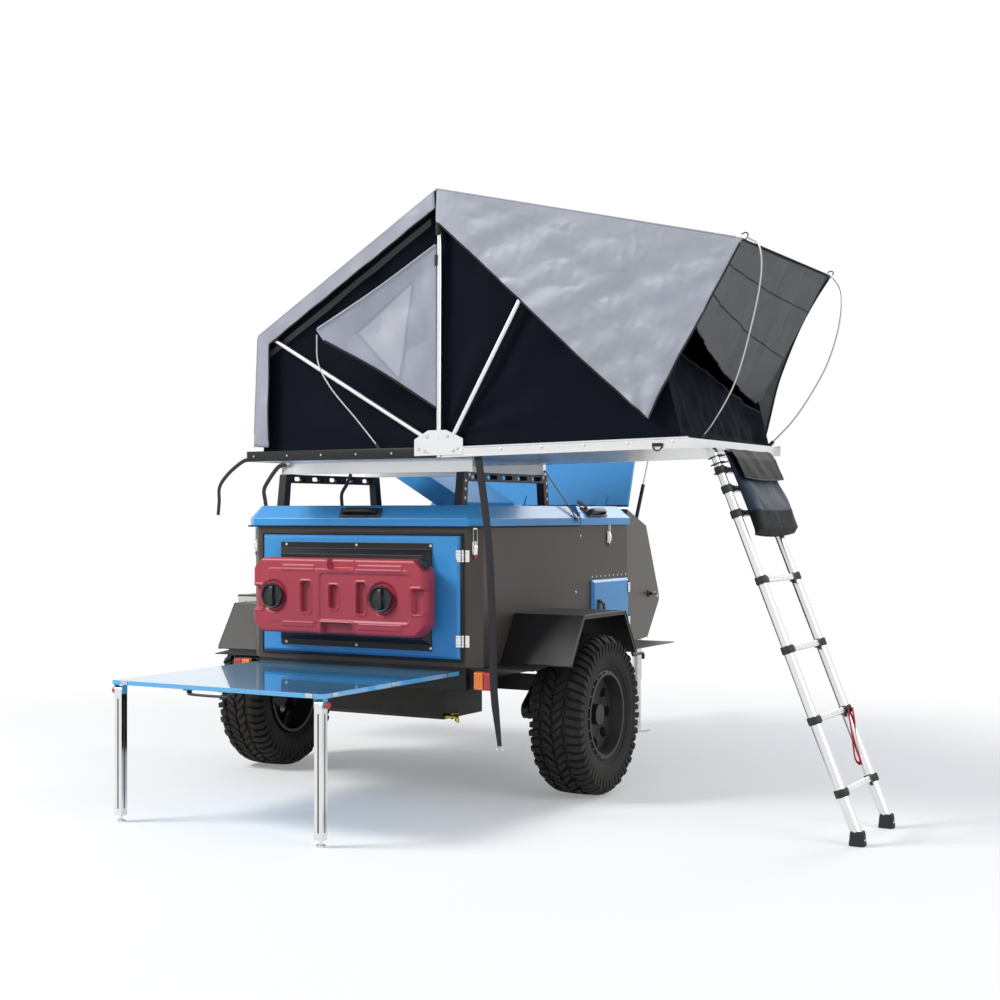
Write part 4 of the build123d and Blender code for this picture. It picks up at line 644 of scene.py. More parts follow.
cut = ((0.060 - ((x - CAN[0]).clip(0) + (CAN[3] - z).clip(0))).clip(0),
       (0.060 - ((CAN[1] - x).clip(0) + (CAN[3] - z).clip(0))).clip(0))
low = (0.060 - ((x - CAN[0]) + (z - CAN[2]))).clip(0), (0.060 - ((CAN[1] - x) + (z - CAN[2]))).clip(0)
x = x + (cut[0] + low[0] - cut[1] - low[1]) / 2
z = z - (cut[0] + cut[1] - low[0] - low[1]) / 2
front = np.stack([x, -0.190 + deep, z], -1)
back = np.stack([x, np.full_like(x, -0.066) - 0.012 * (1 - edge / 0.018) ** 2, z], -1)
loop = np.concatenate([np.stack([front[0], back[0]], 0).transpose(1, 0, 2),
                       np.stack([front[:, -1], back[:, -1]], 0).transpose(1, 0, 2),
                       np.stack([front[-1, ::-1], back[-1, ::-1]], 0).transpose(1, 0, 2),
                       np.stack([front[::-1, 0], back[::-1, 0]], 0).transpose(1, 0, 2)])
can = piece("fluid_can", [surface(front), surface(back), surface(loop)], red_plastic, "back_door",
            angle=50)
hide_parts("fluid_pack")
piece("can_spout", [lathe([(-0.02, 0), (-0.02, 0.024), (0.012, 0.024), (0.014, 0.030), (0.036, 0.030), (0.040, 0.026),
                           (0.040, 0)],
                          (0.436, -0.130, 1.137), (0.45, 0, 0.9), 28)], black_plastic, "back_door")
print("can faces:", len(can.data.polygons))

# %% [markdown]
# ## Knobs that clamp the can
# A moulded hand wheel: a shallow cup with a scalloped rim and a raised bar to grip. The rim's radius is
# r (1 - 0.035 (1 - cos 8 a) / 2), which is a lathe whose outer points are drawn in by waves.

# %% Hand knobs
for name, (kx, kz) in KNOBS.items():
    prof = [(0, 0), (0, 0.058), (0.010, 0.064), (0.020, 0.064), (0.026, 0.060), (0.024, 0.054), (0.016, 0.050),
            (0.014, 0.020), (0.018, 0.014), (0.018, 0)]
    points, faces = lathe(prof, (kx, -0.190, kz), (0, -1, 0), 96)
    off = points - (kx, 0, kz)
    a = np.arctan2(off[:, 2], off[:, 0])
    r = np.hypot(off[:, 0], off[:, 2])
    wave = 1 - 0.035 * (0.5 - 0.5 * np.cos(8 * a)) * (r > 0.056)
    points = np.stack([kx + off[:, 0] * wave, points[:, 1], kz + off[:, 2] * wave], -1)
    bar = sweep(curve([(kx + 0.004, -0.203, kz - 0.048), (kx + 0.002, -0.2155, kz - 0.036), (kx, -0.2155, kz + 0.036),
                       (kx, -0.203, kz + 0.048)], 20),
                rounded(0.022, 0.010, 0.003), up=(0, -1, 0))
    grip = piece(f"hand_{name}", [(points, faces), bar], black_plastic, "back_door", angle=40)
    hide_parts(name)
    piece(f"{name}_screw", round_screw((kx - 0.012, -0.206, kz + 0.030), (0, -1, 0), 0.007, 0.004), chrome, "back_door")
print("knobs done")

# %% [markdown]
# ## Small fittings of the body
# Handles, latches and screws are what makes a plain box read as a real trailer. Each is built where the
# maker bolts it: screws in rows with even pitch, the toggle latches on the corner facets, the handles on the bevels.

# %% Screws, handles and latches
rear = (0, -1, 0)
door_screws = [s for sx in (-0.413, 0.005, 0.425) for sz in (1.243, 0.749)
               for s in round_screw((sx, -0.025, sz), rear, 0.008, 0.005)]
piece("bracket_screws", door_screws, zinc, "back_door")
row = [s for y in np.linspace(1.345, 1.812, 9) for s in round_screw((SIDE_X, y, 1.0545), (1, 0, 0), 0.0055, 0.003)]
row += [s for y in np.linspace(1.35, 1.80, 6) for s in round_screw((SIDE_X, y, 0.718), (1, 0, 0), 0.0055, 0.003)]
row += [s for y, z in ((1.13, .72), (1.13, .98), (.16, .93), (.16, .72), (1.19, 1.28), (.1, 1.28))
        for s in round_screw((SIDE_X, y, z), (1, 0, 0), 0.007, 0.004)]
piece("side_screws", row, zinc, "trailer")


def pull_handle(name, middle, along, up, length, body="trailer"):
    """A bent plate with a raised grip: a foot plate and a bowed strap above it."""
    middle, along, up = np.array(middle), unit(along), unit(up)
    line = curve([middle - along * length * 0.42, middle - along * length * 0.36 + up * 0.020,
                  middle - along * length * 0.2 + up * 0.028,
                  middle + along * length * 0.2 + up * 0.028, middle + along * length * 0.36 + up * 0.020,
                  middle + along * length * 0.42], 36)
    grip = sweep(line, rounded(0.026, 0.010, 0.004), up=up)
    foot = sweep(np.linspace(middle - along * length / 2, middle + along * length / 2, 3) + up * 0.002,
                 rounded(0.050, 0.006, 0.002), up=up)
    return piece(name, [grip, foot], black_paint, body, bevel=0.0006)


pull_handle("rear_lid_handle", (0.016, -0.0045, 1.4035), (1, 0, 0), (0, -0.85, 0.53), 0.235)
pull_handle("side_lid_handle", (0.670, 1.385, 1.4035), (0, 1, 0), (0.85, 0, 0.53), 0.25, "wing_right")
pull_handle("hatch_handle", (0.684, 1.40, 0.88), (0, 0, 1), (1, 0, 0), 0.10, "side_flap")


def toggle_latch(name, place, out):
    """An over-centre latch: base plate, bowed lever with a red safety tab, and a wire loop up to its keeper."""
    p, out = np.array(place), unit(out)
    side = unit(np.cross((0, 0, 1), out))
    base = sweep(p + np.outer([-0.030, 0.030], (0, 0, 1)) + out * 0.002, rounded(0.026, 0.004, 0.0015), up=out)
    lever = sweep(curve([p + (0, 0, 0.024) + out * 0.006, p + (0, 0, 0.004) + out * 0.016,
                         p - (0, 0, 0.034) + out * 0.008], 12),
                  rounded(0.020, 0.005, 0.002), up=out)
    wire_line = [p + (0, 0, 0.014) + out * 0.010 - side * 0.009, p + (0, 0, 0.090) + out * 0.008 - side * 0.009,
                 p + (0, 0, 0.098) + out * 0.008, p + (0, 0, 0.090) + out * 0.008 + side * 0.009,
                 p + (0, 0, 0.014) + out * 0.010 + side * 0.009]
    loop_wire = sweep(curve(wire_line, 40), circle(0.0018, 8), up=out)
    keep = sweep(p + np.outer([0.088, 0.108], (0, 0, 1)) + out * 0.003, rounded(0.022, 0.008, 0.002), up=out)
    tab = sweep(p + np.outer([-0.052, -0.030], (0, 0, 1)) + out * 0.008, rounded(0.014, 0.006, 0.002), up=out)
    piece(name, [base, lever, loop_wire, keep], chrome, "trailer", angle=40)
    piece(name + "_tab", [tab], red_cover, "trailer")


toggle_latch("latch_right", (0.6350, 0.0310, 1.236), (1, -1, 0))
toggle_latch("latch_left", (-0.6350, 0.0310, 1.236), (-1, -1, 0))
toggle_latch("latch_side", (0.668, 1.56, 1.270), (1, 0, 0))
hinge_screws = []
for z in (1.196, 0.788):
    for dz in (-0.018, 0.0, 0.018):
        hinge_screws += round_screw((0.5705, -0.0205, z + dz), rear, 0.0042, 0.003)
piece("door_hinge_screws", hinge_screws, zinc, "back_door")
print("fittings done")

# %% [markdown]
# ## Door seal and lenses
# The door closes on a black rubber frame: a bead swept round the opening. The lamps are moulded lenses, orange inboard
# and red outboard, whose vertical ribs are a wave of the front face, y = y0 - 0.0012 cos(k x).

# %% Seals and lamps
x0, x1, z0, z1 = -0.571, 0.586, 0.692, 1.300
frame_corners = [(x, -0.004, z) for x, z in ((x0, z0), (x1, z0), (x1, z1), (x0, z1), (x0, z0))]
line = np.concatenate([np.linspace(a, b, 20)[:-1] for a, b in zip(frame_corners[:-1], frame_corners[1:])])
seal = sweep(line, circle(0.007, 10), up=(0, 1, 0), loop=True)
piece("door_seal", [seal], rubber_seal, "trailer")


def lens(x0, x1, z0, z1, y, waves):
    """A lens: rounded block whose front face carries vertical ribs."""
    u, v = np.meshgrid(np.linspace(0, 1, 60), np.linspace(0, 1, 24))
    soft = np.minimum(np.minimum(u, 1 - u) * 14, np.minimum(v, 1 - v) * 10).clip(0, 1)
    x, z = x0 + (x1 - x0) * u, z0 + (z1 - z0) * v
    y = y - 0.026 * np.sqrt(1 - (1 - soft) ** 2) - 0.0012 * np.cos(2 * pi * waves * u) * (soft > 0.9)
    front = np.stack([x, y, z], -1)
    flat = front.copy()
    flat[..., 1] = y.max() + 0.004
    rim = np.concatenate([np.stack([front[0], flat[0]], 1), np.stack([front[:, -1], flat[:, -1]], 1),
                          np.stack([front[-1, ::-1], flat[-1, ::-1]], 1), np.stack([front[::-1, 0], flat[::-1, 0]], 1)])
    return [surface(front), surface(flat), surface(rim)]


box = {side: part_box(f"lamp_{side}") for side in ("left", "right")}
print("lamp boxes", {k: np.round(np.array(v) - SHIFT, 3).tolist() for k, v in box.items()})

# %% [markdown]
# ## Lamps on their plates
# Each lamp is two lenses side by side on a black base, in the place of the solid that the frame holds for it.

# %% Lamps on their plates
for side, x in (("left", -1), ("right", 1)):
    inner, outer = (0.653, 0.703), (0.705, 0.753)
    parts = []
    for (a, b), kind in ((inner, 0), (outer, 1)):
        low, high = sorted((x * a, x * b))
        parts += [(*shape, kind) for shape in lens(low, high, 0.558, 0.648, 0.008, 5)]
    body = slab((min(x * 0.653, x * 0.753), 0.006, 0.558), (max(x * 0.653, x * 0.753), 0.040, 0.648))
    made = piece(f"tail_lamp_{side}", parts + [(*body, 2)], [lens_orange, lens_red, black_plastic], "trailer",
                 angle=30)
    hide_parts(f"lamp_{side}")
print("lamps done")

# %% [markdown]
# ## Tent cloth
# Each panel of the tent is a grid between its four hems: a Coons patch, P = (1-v) top + v bottom + (1-u) left +
# u right, less the corners counted twice. Folds push it along its own normal, and fade out at the seams where the
# cloth is sewn or tied down. The fly is coated with silver, so light catches every crease of it. The walls are a dark
# cotton that hangs nearly flat. Each panel's map takes its lengths from its own grid.

# %% Cloth finishes
def cloth_finish(name, colour, rough, crease_size, crease_depth, metal=0.0, through=0.0, threads=700.0,
                 panel=None, binding=None, spread=0.10, shine=0.3):
    """Cloth: a fine weave on the map, creases from ridged noise, an inset panel and its binding from the 'panel'
    attribute, which holds the distance into the panel in metres, and a share of light that comes through."""
    mat, tree = blank(name)
    spot = wire(tree, "ShaderNodeTexCoord").outputs
    slow = noise(tree, spot["Object"], 3.5, Detail=5.0)
    base = blend(tree, slow, tone(colour, 1 - spread), tone(colour, 1 + spread))
    folds = wire(tree, "ShaderNodeTexNoise", {"noise_type": "RIDGED_MULTIFRACTAL"}, Vector=spot["Object"],
                 Scale=crease_size, Detail=2.0, Roughness=0.45).outputs["Fac"]
    flat = wire(tree, "ShaderNodeSeparateXYZ", Vector=spot["UV"]).outputs
    waves = [calc(tree, "SINE", calc(tree, "MULTIPLY", flat[k], 2 * pi * threads)) for k in (0, 1)]
    weave = calc(tree, "MULTIPLY", *waves)
    normal = relief(tree, crease_depth, 0.008, folds, Normal=relief(tree, 0.25, 0.0003, weave))
    if panel or binding:
        away = wire(tree, "ShaderNodeAttribute", {"attribute_name": "panel"}).outputs["Fac"]
    if panel:
        share = span(tree, away, -0.001, 0.001, 0.0, 1.0)
        base = blend(tree, calc(tree, "MULTIPLY", share, span(tree, weave, -1.0, 1.0, 0.6, 1.0)), base, (*panel, 1))
    if binding:
        band = span(tree, calc(tree, "ABSOLUTE", away), 0.006, 0.008, 1.0, 0.0)
        base = blend(tree, band, base, (*binding, 1))
    gloss = span(tree, slow, 0.2, 0.8, rough * 0.88, min(1.0, rough * 1.1))
    shade = wire(tree, "ShaderNodeBsdfPrincipled", Base_Color=base, Roughness=gloss, Metallic=metal, Normal=normal,
                 Specular_IOR_Level=shine).outputs[0]
    if through:
        back = wire(tree, "ShaderNodeBsdfTranslucent", Color=base, Normal=normal).outputs[0]
        shade = wire(tree, "ShaderNodeMixShader", Fac=through, i1=shade, i2=back).outputs[0]
    wire(tree, "ShaderNodeOutputMaterial", Surface=shade)
    return mat


fly_silver = cloth_finish("fly_silver", (0.33, 0.345, 0.395), 0.44, 17.0, 0.42, metal=0.15, through=0.06)
# Painted backlight: this grey is lighter than the cloth's own, standing in for light from behind that the roof blocks.
flap_grey_and_painted_backlight = cloth_finish("flap_grey_and_painted_backlight", (0.23, 0.235, 0.24), 0.60, 13.0, 0.95, through=0.50, shine=0.2)
wall_navy = cloth_finish("wall_navy", (0.0045, 0.006, 0.011), 0.85, 5.0, 0.35, shine=0.06, panel=(0.11, 0.115, 0.12),
                         binding=(0.006, 0.006, 0.008))
awning_silver = cloth_finish("awning_silver", (0.33, 0.34, 0.40), 0.46, 7.0, 0.25, metal=0.15, panel=(0.44, 0.45, 0.50),
                             binding=(0.30, 0.31, 0.36))
piping_black = cloth_finish("piping_black", (0.010, 0.010, 0.012), 0.6, 30.0, 0.2)
webbing_black = cloth_finish("webbing_black", (0.014, 0.014, 0.016), 0.62, 40.0, 0.1, threads=300.0)
webbing_red = cloth_finish("webbing_red", (0.42, 0.02, 0.03), 0.6, 40.0, 0.1, threads=300.0)
bag_blue = cloth_finish("bag_blue", (0.026, 0.037, 0.062), 0.6, 14.0, 0.45, shine=0.2)
bag_black = cloth_finish("bag_black", (0.005, 0.0055, 0.007), 0.65, 14.0, 0.45, shine=0.15)
print("cloth finishes done")

# %% [markdown]
# ## From hems to a sheet
# Four hems give a patch, a height pushes it along its normal, and a fade keeps the held hems where they are. The
# sheet's map then spans the mean length of its grid's rows and of its columns. The sheet is then declared as cloth,
# with a flat size that is its grid's longest row and column and one hundredth more.

# %% Patches, folds and cloth


def coons(top, bottom, left, right, columns, rows):
    """Coons patch between four hems, each given as points that a smooth curve runs through."""
    t, b = curve(top, columns)[None], curve(bottom, columns)[None]
    l, r = curve(left, rows)[:, None], curve(right, rows)[:, None]
    u, v = np.linspace(0, 1, columns)[None, :, None], np.linspace(0, 1, rows)[:, None, None]
    corners = (1 - v) * ((1 - u) * t[:, :1] + u * t[:, -1:]) + v * ((1 - u) * b[:, :1] + u * b[:, -1:])
    return (1 - v) * t + v * b + (1 - u) * l + u * r - corners


def swell(grid, height):
    """Each point of a grid pushed along its normal, the cross product of the steps between rows and columns."""
    normal = unit(np.cross(np.gradient(grid, axis=1), np.gradient(grid, axis=0)))
    return grid + normal * height[..., None]


def hem_fade(grid, top=1, bottom=1, left=1, right=1, soft=0.12):
    """1 in the middle of a grid and 0 at the hems that are held."""
    rows, cols = grid.shape[:2]
    v, u = np.linspace(0, 1, rows)[:, None], np.linspace(0, 1, cols)[None]
    fade = np.ones((rows, cols))
    for held, x in ((top, v), (bottom, 1 - v), (left, u), (right, 1 - u)):
        if held:
            t = (x / soft).clip(0, 1)
            fade = fade * t * t * (3 - 2 * t)
    return fade


def cloth(name, grid, coat, body="trailer", thick=0.0014, panel=None, lining=None):
    """A sheet: the grid's own lengths give its map. The lining is on the back of its faces."""
    down = np.linalg.norm(np.diff(grid, axis=0), axis=-1).sum(0)
    over = np.linalg.norm(np.diff(grid, axis=1), axis=-1).sum(1)
    rows, cols = grid.shape[:2]
    v, u = np.meshgrid(np.linspace(0, 1, rows), np.linspace(0, 1, cols), indexing="ij")
    uv = np.stack([u * over.mean(), v * down.mean()], -1).reshape(-1, 2)
    obj = piece(name, [surface(grid)], [coat, lining] if lining else coat, body, uv=uv, angle=70, thick=thick,
                merge=False)
    if lining:
        obj.modifiers["thickness"].material_offset = 1
    if panel is not None:
        obj.data.attributes.new("panel", "FLOAT", "POINT").data.foreach_set("value", panel.astype(np.float32).ravel())
    return obj


def trim(name, paths, radius, coat, body="trailer"):
    """Piping: thin tubes along hems."""
    return piece(name, [sweep(p, circle(radius, 8), up=(0.13, 0.27, 0.95)) for p in paths], coat, body,
                 angle=60)


# %% [markdown]
# ## The fly
# One long piece of silver cloth runs from the left skirt over three bows to the right eave. Between bows it sinks by
# a sine, and small puckers run away from the seams.

# %% Roof
SKIRT_L, EAVE_L, RIDGE, EAVE_R = (-0.424, 1.730), (-0.400, 2.276), (0.610, 2.902), (2.060, 2.546)
FLY_NEAR, FLY_FAR = -0.299, 0.984
line = np.array([SKIRT_L, EAVE_L, RIDGE, EAVE_R])
steps = np.r_[0, np.cumsum(np.linalg.norm(np.diff(line, axis=0), axis=1))]
s = np.linspace(0, steps[-1], 200)
profile = np.stack([np.interp(s, steps, line[:, k]) for k in (0, 1)], -1)
y = np.linspace(FLY_NEAR, FLY_FAR, 90)
grid = np.stack([np.repeat(profile[:, None, 0], 90, 1), np.repeat(y[None], 200, 0),
                 np.repeat(profile[:, None, 1], 90, 1)], -1)
bows = np.array([0, steps[1], steps[2], steps[2] + 0.645, steps[3]])
share = np.interp(s, bows, np.arange(5)) % 1
sag = -0.014 * np.sin(pi * share)[:, None] * (0.35 + 0.65 * np.sin(pi * (y - FLY_NEAR) / (FLY_FAR - FLY_NEAR)))[None]
rim_fade = (np.minimum(y - FLY_NEAR, FLY_FAR - y) / 0.10).clip(0.0, 1)[None] ** 0.7
puckers = 0.0035 * crease(grid * (0.5, 1.6, 0.5), 4, 0.30) * np.exp(-((y - FLY_NEAR) / 0.16) ** 2)[None]
grid = swell(grid, -(sag + 0.0030 * ripple(grid * (1, 0.5, 1), 8, 0.34) * np.sin(pi * share)[:, None] - puckers * 0.6)
             * rim_fade)
grid[..., 2] = np.minimum(grid[..., 2], 2.905)
roof = cloth("fly_roof", grid, fly_silver, lining=flap_grey_and_painted_backlight)
near_hem, far_hem = grid[:, 0].copy(), grid[:, -1].copy()
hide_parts("tent_fly")

# %% [markdown]
# ## The fly's side flaps and skirt
# On each side a flap of the same cloth hangs from the roof line and narrows downwards. On the near one folds fan out
# from a point at its lower corner, so part of their height is a sine of the direction to that point. The far one
# turns its grey lining to this side and has plain creases. A narrow skirt follows the left slope.

# %% Side flaps of the fly
near = coons([(RIDGE[0], FLY_NEAR, RIDGE[1]), (1.34, FLY_NEAR, 2.7225), (EAVE_R[0], FLY_NEAR, EAVE_R[1])],
             [(0.604, FLY_NEAR, 2.755), (1.022, FLY_NEAR - 0.004, 2.368), (1.350, FLY_NEAR - 0.006, 2.061),
              (1.642, FLY_NEAR - 0.002, 1.807)],
             [(RIDGE[0], FLY_NEAR, RIDGE[1]), (0.606, FLY_NEAR, 2.83), (0.604, FLY_NEAR, 2.755)],
             [(EAVE_R[0], FLY_NEAR, EAVE_R[1]), (1.846, FLY_NEAR + 0.004, 2.180), (1.715, FLY_NEAR, 1.950),
              (1.642, FLY_NEAR - 0.002, 1.807)], 170, 120)
u, v = np.meshgrid(np.linspace(0, 1, 170), np.linspace(0, 1, 120))
fade = hem_fade(near, bottom=0, left=1, right=0, soft=0.16)
pull = np.sin(9 * np.arctan2(near[..., 2] - 1.75, 1.60 - near[..., 0]) + 2.0 * ripple(near, 3, 0.8))
lift = (0.011 * np.sin(pi * u) * v + 0.0045 * pull * fade * (0.3 + 0.7 * v)
        + 0.0035 * ripple(near * (1, 1, 2.2), 5, 0.30) * fade)
lift += (0.0028 * crease(near * (1.0, 1, 1.9), 6, 0.36) + 0.0016 * crease(near * (1.4, 1, 1), 7, 0.11)) * fade
flap_near = swell(near, lift)
cloth("fly_flap_near", flap_near, fly_silver, lining=flap_grey_and_painted_backlight)
far = coons([(RIDGE[0], FLY_FAR, RIDGE[1]), (1.34, FLY_FAR, 2.7225), (EAVE_R[0], FLY_FAR, EAVE_R[1])],
            [(0.604, FLY_FAR, 2.755), (1.022, FLY_FAR, 2.36), (1.45, FLY_FAR, 2.00), (1.735, FLY_FAR, 1.735)],
            [(RIDGE[0], FLY_FAR, RIDGE[1]), (0.606, FLY_FAR, 2.83), (0.604, FLY_FAR, 2.755)],
            [(EAVE_R[0], FLY_FAR, EAVE_R[1]), (1.915, FLY_FAR, 2.305), (1.810, FLY_FAR, 2.06), (1.735, FLY_FAR, 1.735)],
            170, 120)
fade = hem_fade(far, bottom=0, left=1, right=0, soft=0.16)
lift = 0.012 * crease(far * (1.3, 1, 1.0), 15, 0.42) * fade + 0.006 * ripple(far, 16, 0.22) * fade
flap_far = swell(far, -lift + 0.006)
cloth("fly_flap_far", flap_far, flap_grey_and_painted_backlight, lining=fly_silver)
outer = profile[s <= steps[2]]
walk = s[s <= steps[2]]
inner_line = np.stack([np.interp(walk, [0, steps[1], steps[1] + 0.1, steps[2]], [-0.340, -0.335, -0.292, 0.612]),
                       np.interp(walk, [0, steps[1], steps[1] + 0.1, steps[2]], [1.726, 2.235, 2.262, 2.822])], -1)
t = np.linspace(0, 1, 14)[None, :, None]
flat = (1 - t) * outer[:, None] + t * inner_line[:, None]
skirt = np.stack([flat[..., 0], np.full(flat.shape[:2], FLY_NEAR - 0.001), flat[..., 1]], -1)
skirt[..., 1] += 0.0030 * ripple(skirt, 21, 0.16) * t[..., 0] + 0.004 * t[..., 0]
cloth("fly_skirt", skirt, fly_silver)
trim("fly_seam", [near_hem[4:-2]], 0.0035, fly_silver)
trim("fly_piping", [far_hem[4:-2], flap_near[::-1, -1][2:-2], flap_near[-1][2:-2], flap_far[::-1, -1][2:-2],
                    flap_far[-1][2:-2],
                    skirt[:, -1][2:-2]], 0.0045, piping_black)

# %% [markdown]
# ## Walls
# The near wall carries a triangular window of dark mesh behind the awning and a strip of grey mesh under the left
# slope. Both come from one attribute: the distance into the shape, positive inside. The wall creases gently where
# it is clipped to the platform.

# %% Wall panels


def wall_grid(y_at, columns=200, rows=150):
    """The pentagon of a side wall as rows between its foot and its upper edge, foot + v (head - foot)."""
    x = np.linspace(0, 1, columns)
    foot_x = np.interp(x, [0, 1], [-0.396, 1.775])
    head = np.array([(-0.364, 2.236), (0.608, 2.846), (1.556, 2.632), (1.775, 1.7265)])
    run = np.interp(x, [0, 0.47, 0.90, 1.0], np.arange(4))
    top = np.stack([np.interp(run, np.arange(4), head[:, k]) for k in (0, 1)], -1)
    low = np.stack([foot_x, np.interp(foot_x, [-0.396, 0.624, 1.775], [1.7055, 1.7055, 1.7255])], -1)
    v = np.linspace(0, 1, rows)[:, None, None]
    flat = (1 - v) * top[None] + v * low[None]
    return np.stack([flat[..., 0], np.full(flat.shape[:2], y_at), flat[..., 1]], -1)


def into_triangle(p, corners):
    """Distance of (x, z) into a triangle: the least of its distances from the three lines, positive inside."""
    c = np.asarray(corners, float)
    mid = c.mean(0)
    reach = []
    for a, b in zip(c, np.roll(c, -1, 0)):
        n = unit((-(b - a)[1], (b - a)[0]))
        n = n if (mid - a) @ n > 0 else -n
        reach.append((p - a) @ n)
    return np.min(reach, 0)


base_wall = wall_grid(-0.257)
flat = base_wall[..., ::2]
window = into_triangle(flat, [(0.545, 2.580), (0.030, 2.262), (0.545, 1.960)])
slope = unit((0.972, 0.610))
under = (flat - (-0.364, 2.236)) @ np.array([slope[1], -slope[0]])
strip = np.minimum(np.minimum(under - 0.022, 0.064 - under), 0.56 - flat[..., 0])
fade = hem_fade(base_wall, soft=0.10)
tension = 0.006 * np.sin(14 * np.arctan2(flat[..., 1] - 1.74, flat[..., 0] - 0.62) + ripple(base_wall, 31, 0.7)) * fade
bulge = (0.010 * fade * np.sin(pi * np.linspace(0, 1, 150))[:, None] + tension
         + 0.003 * crease(base_wall, 32, 0.35) * fade)
near_wall = base_wall.copy()
near_wall[..., 1] += 0.004 + bulge * 0.8
wall = cloth("tent_wall_near", near_wall, wall_navy, panel=np.maximum(window, strip))
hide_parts("tent_body")
back_wall = wall_grid(0.941)
back_wall[..., 1] -= 0.010 * hem_fade(back_wall) * crease(back_wall, 33, 0.6)
cloth("tent_wall_far", back_wall, wall_navy, panel=np.full(back_wall.shape[:2], -1.0))
end = coons([(-0.364, -0.255, 2.236), (-0.364, 0.939, 2.236)], [(-0.396, -0.255, 1.7055), (-0.396, 0.939, 1.7055)],
            [(-0.364, -0.255, 2.236), (-0.396, -0.255, 1.7055)], [(-0.364, 0.939, 2.236), (-0.396, 0.939, 1.7055)], 80,
            50)
end[..., 0] += 0.010 * hem_fade(end) * (1 + ripple(end, 34, 0.5)) * 0.5
cloth("tent_wall_left", end, wall_navy, panel=np.full(end.shape[:2], -1.0))
low = coons([(1.663, -0.255, 2.190), (1.700, 0.35, 2.035), (1.735, 0.939, 1.890)],
            [(1.773, -0.255, 1.7268), (1.773, 0.35, 1.7268), (1.773, 0.939, 1.7268)],
            [(1.663, -0.255, 2.190), (1.773, -0.255, 1.7268)], [(1.735, 0.939, 1.890), (1.773, 0.939, 1.7268)], 110, 60)
fade = hem_fade(low, top=0, soft=0.10)
low[..., 0] -= (0.020 * (0.5 + 0.5 * crease(low * (1, 1.0, 0.5), 35, 0.45)) + 0.006 * ripple(low, 36, 0.16)) * fade
cloth("tent_wall_low", low, wall_navy, panel=np.full(low.shape[:2], -1.0))
trim("wall_piping", [low[0][1:-1], near_wall[-1][2:-2]], 0.004, piping_black)

# %% [markdown]
# ## Entrance flap and window awning
# The entrance flap hangs in from the right eave, long at the far side and short at the near one. It looks lit from
# behind, partly by light through the cloth and partly by painted backlight in its lighter grey. The awning is pulled
# into a tight triangle by one bent rod, with a lighter mesh window in its middle.

# %% Flap and awning
drop = unit((-405.0, 0, -745.0))
eave = [np.array((2.047, y, 2.5435)) for y in (-0.292, 0.340, 0.977)]
low_edge = [point + long * drop for point, long in zip(eave, (0.40, 0.58, 0.70))]
flap = coons([eave[0], (2.047, 0.340, 2.538), eave[2]], low_edge, [eave[0], low_edge[0]],
             [eave[2], low_edge[2]], 130, 80)
fade = hem_fade(flap, bottom=0, left=1, right=1, soft=0.08)
flap = swell(flap, (0.014 * crease(flap * (0.7, 1.3, 0.7), 41, 0.42) + 0.006 * crease(flap, 43, 0.16)
                    + 0.004 * ripple(flap, 42, 0.15)) * fade)
# The flap's lighter grey is painted backlight, beside the light that really passes through it.
entrance = cloth("entrance_cloth", flap, flap_grey_and_painted_backlight)
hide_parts("entrance_flap")
seams = [flap[22] + (0.002, 0, 0.001), flap[50] + (0.002, 0, 0.001), flap[0], flap[-1]]
trim("entrance_seams", [p[1:-1] for p in seams], 0.003, piping_black)
high, below, tip_a, tip_b = ((0.5956, -0.276, 2.650), (0.5956, -0.276, 1.888), (0.055, -0.470, 2.266),
                             (0.090, -0.464, 2.216))
awning = coons([high, tuple(np.array(high) * 0.5 + np.array(tip_a) * 0.5 - (0, 0, 0.010)), tip_a],
               [below, tuple(np.array(below) * 0.5 + np.array(tip_b) * 0.5 + (0, 0, 0.014)), tip_b],
               [high, (0.5956, -0.276, 2.27), below], [tip_a, tip_b], 110, 100)
u, v = np.meshgrid(np.linspace(0, 1, 110), np.linspace(0, 1, 100))
fade = hem_fade(awning, soft=0.14)
awning = swell(awning, -(0.016 * np.sin(pi * u) * np.sin(pi * v) + 0.004 * ripple(awning, 44, 0.20) * fade
                         + 0.004 * crease(awning, 45, 0.3) * fade))
inner = into_triangle(awning[..., ::2], [awning[round(99 * b), round(109 * a)][::2] for a,
                                         b in ((0.69, 0.50), (0.19, 0.14), (0.32, 0.97))])
shade = cloth("awning_cloth", awning, awning_silver, panel=inner)
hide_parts("window_awning")
trim("awning_hem", [awning[-1][1:-1]], 0.006, piping_black)
trim("awning_fold", [awning[0][1:-1]], 0.006, fly_silver)

# %% [markdown]
# ## Spring rods, straps and the rest of the webbing
# The rods are round steel bowed by the cloth. A cubic curve through a few measured points gives their even bend.

# %% Rods and straps
routes = {
    "awning_rod_near": [(1.788, -0.060, 1.7286), (2.074, -0.268, 2.550),
                        [(0.075, 41, -4), (0.28, 99, -11), (0.56, 107, -3), (0.805, 94, 2), (0.951, 58, -4)]],
    "awning_rod_far": [(1.788, 0.900, 1.7286), (2.076, 0.950, 2.538),
                       [(0.15, 74, -2), (0.323, 119, -6), (0.496, 141, -10), (0.706, 129, -15), (0.891, 83, -20)]],
    "window_rod": [(0.288, -0.276, 1.7076), (0.0576, -0.4685, 2.243),
                   [(0.266, -37, -3), (0.528, -70, -22), (0.752, -63, -25)]],
}
for name, (foot, tip, bow) in routes.items():
    foot, tip = np.array(foot), np.array(tip)
    via = [foot + t * (tip - foot) + np.array((bx, by, 0)) / 1000 for t, bx, by in bow]
    route = curve([foot, *via, tip], 90)
    socket = lathe([(-0.004, 0), (-0.004, 0.009), (0.026, 0.009), (0.030, 0.006), (0.030, 0)], foot,
                   route[4] - route[0], 16)
    made = piece(f"{name}_bent", [sweep(route, circle(0.0038, 10), up=(0.2, 0.9, 0.3)), (*socket, 1)],
                 [steel, black_plastic], "trailer", angle=60)
    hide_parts(name)


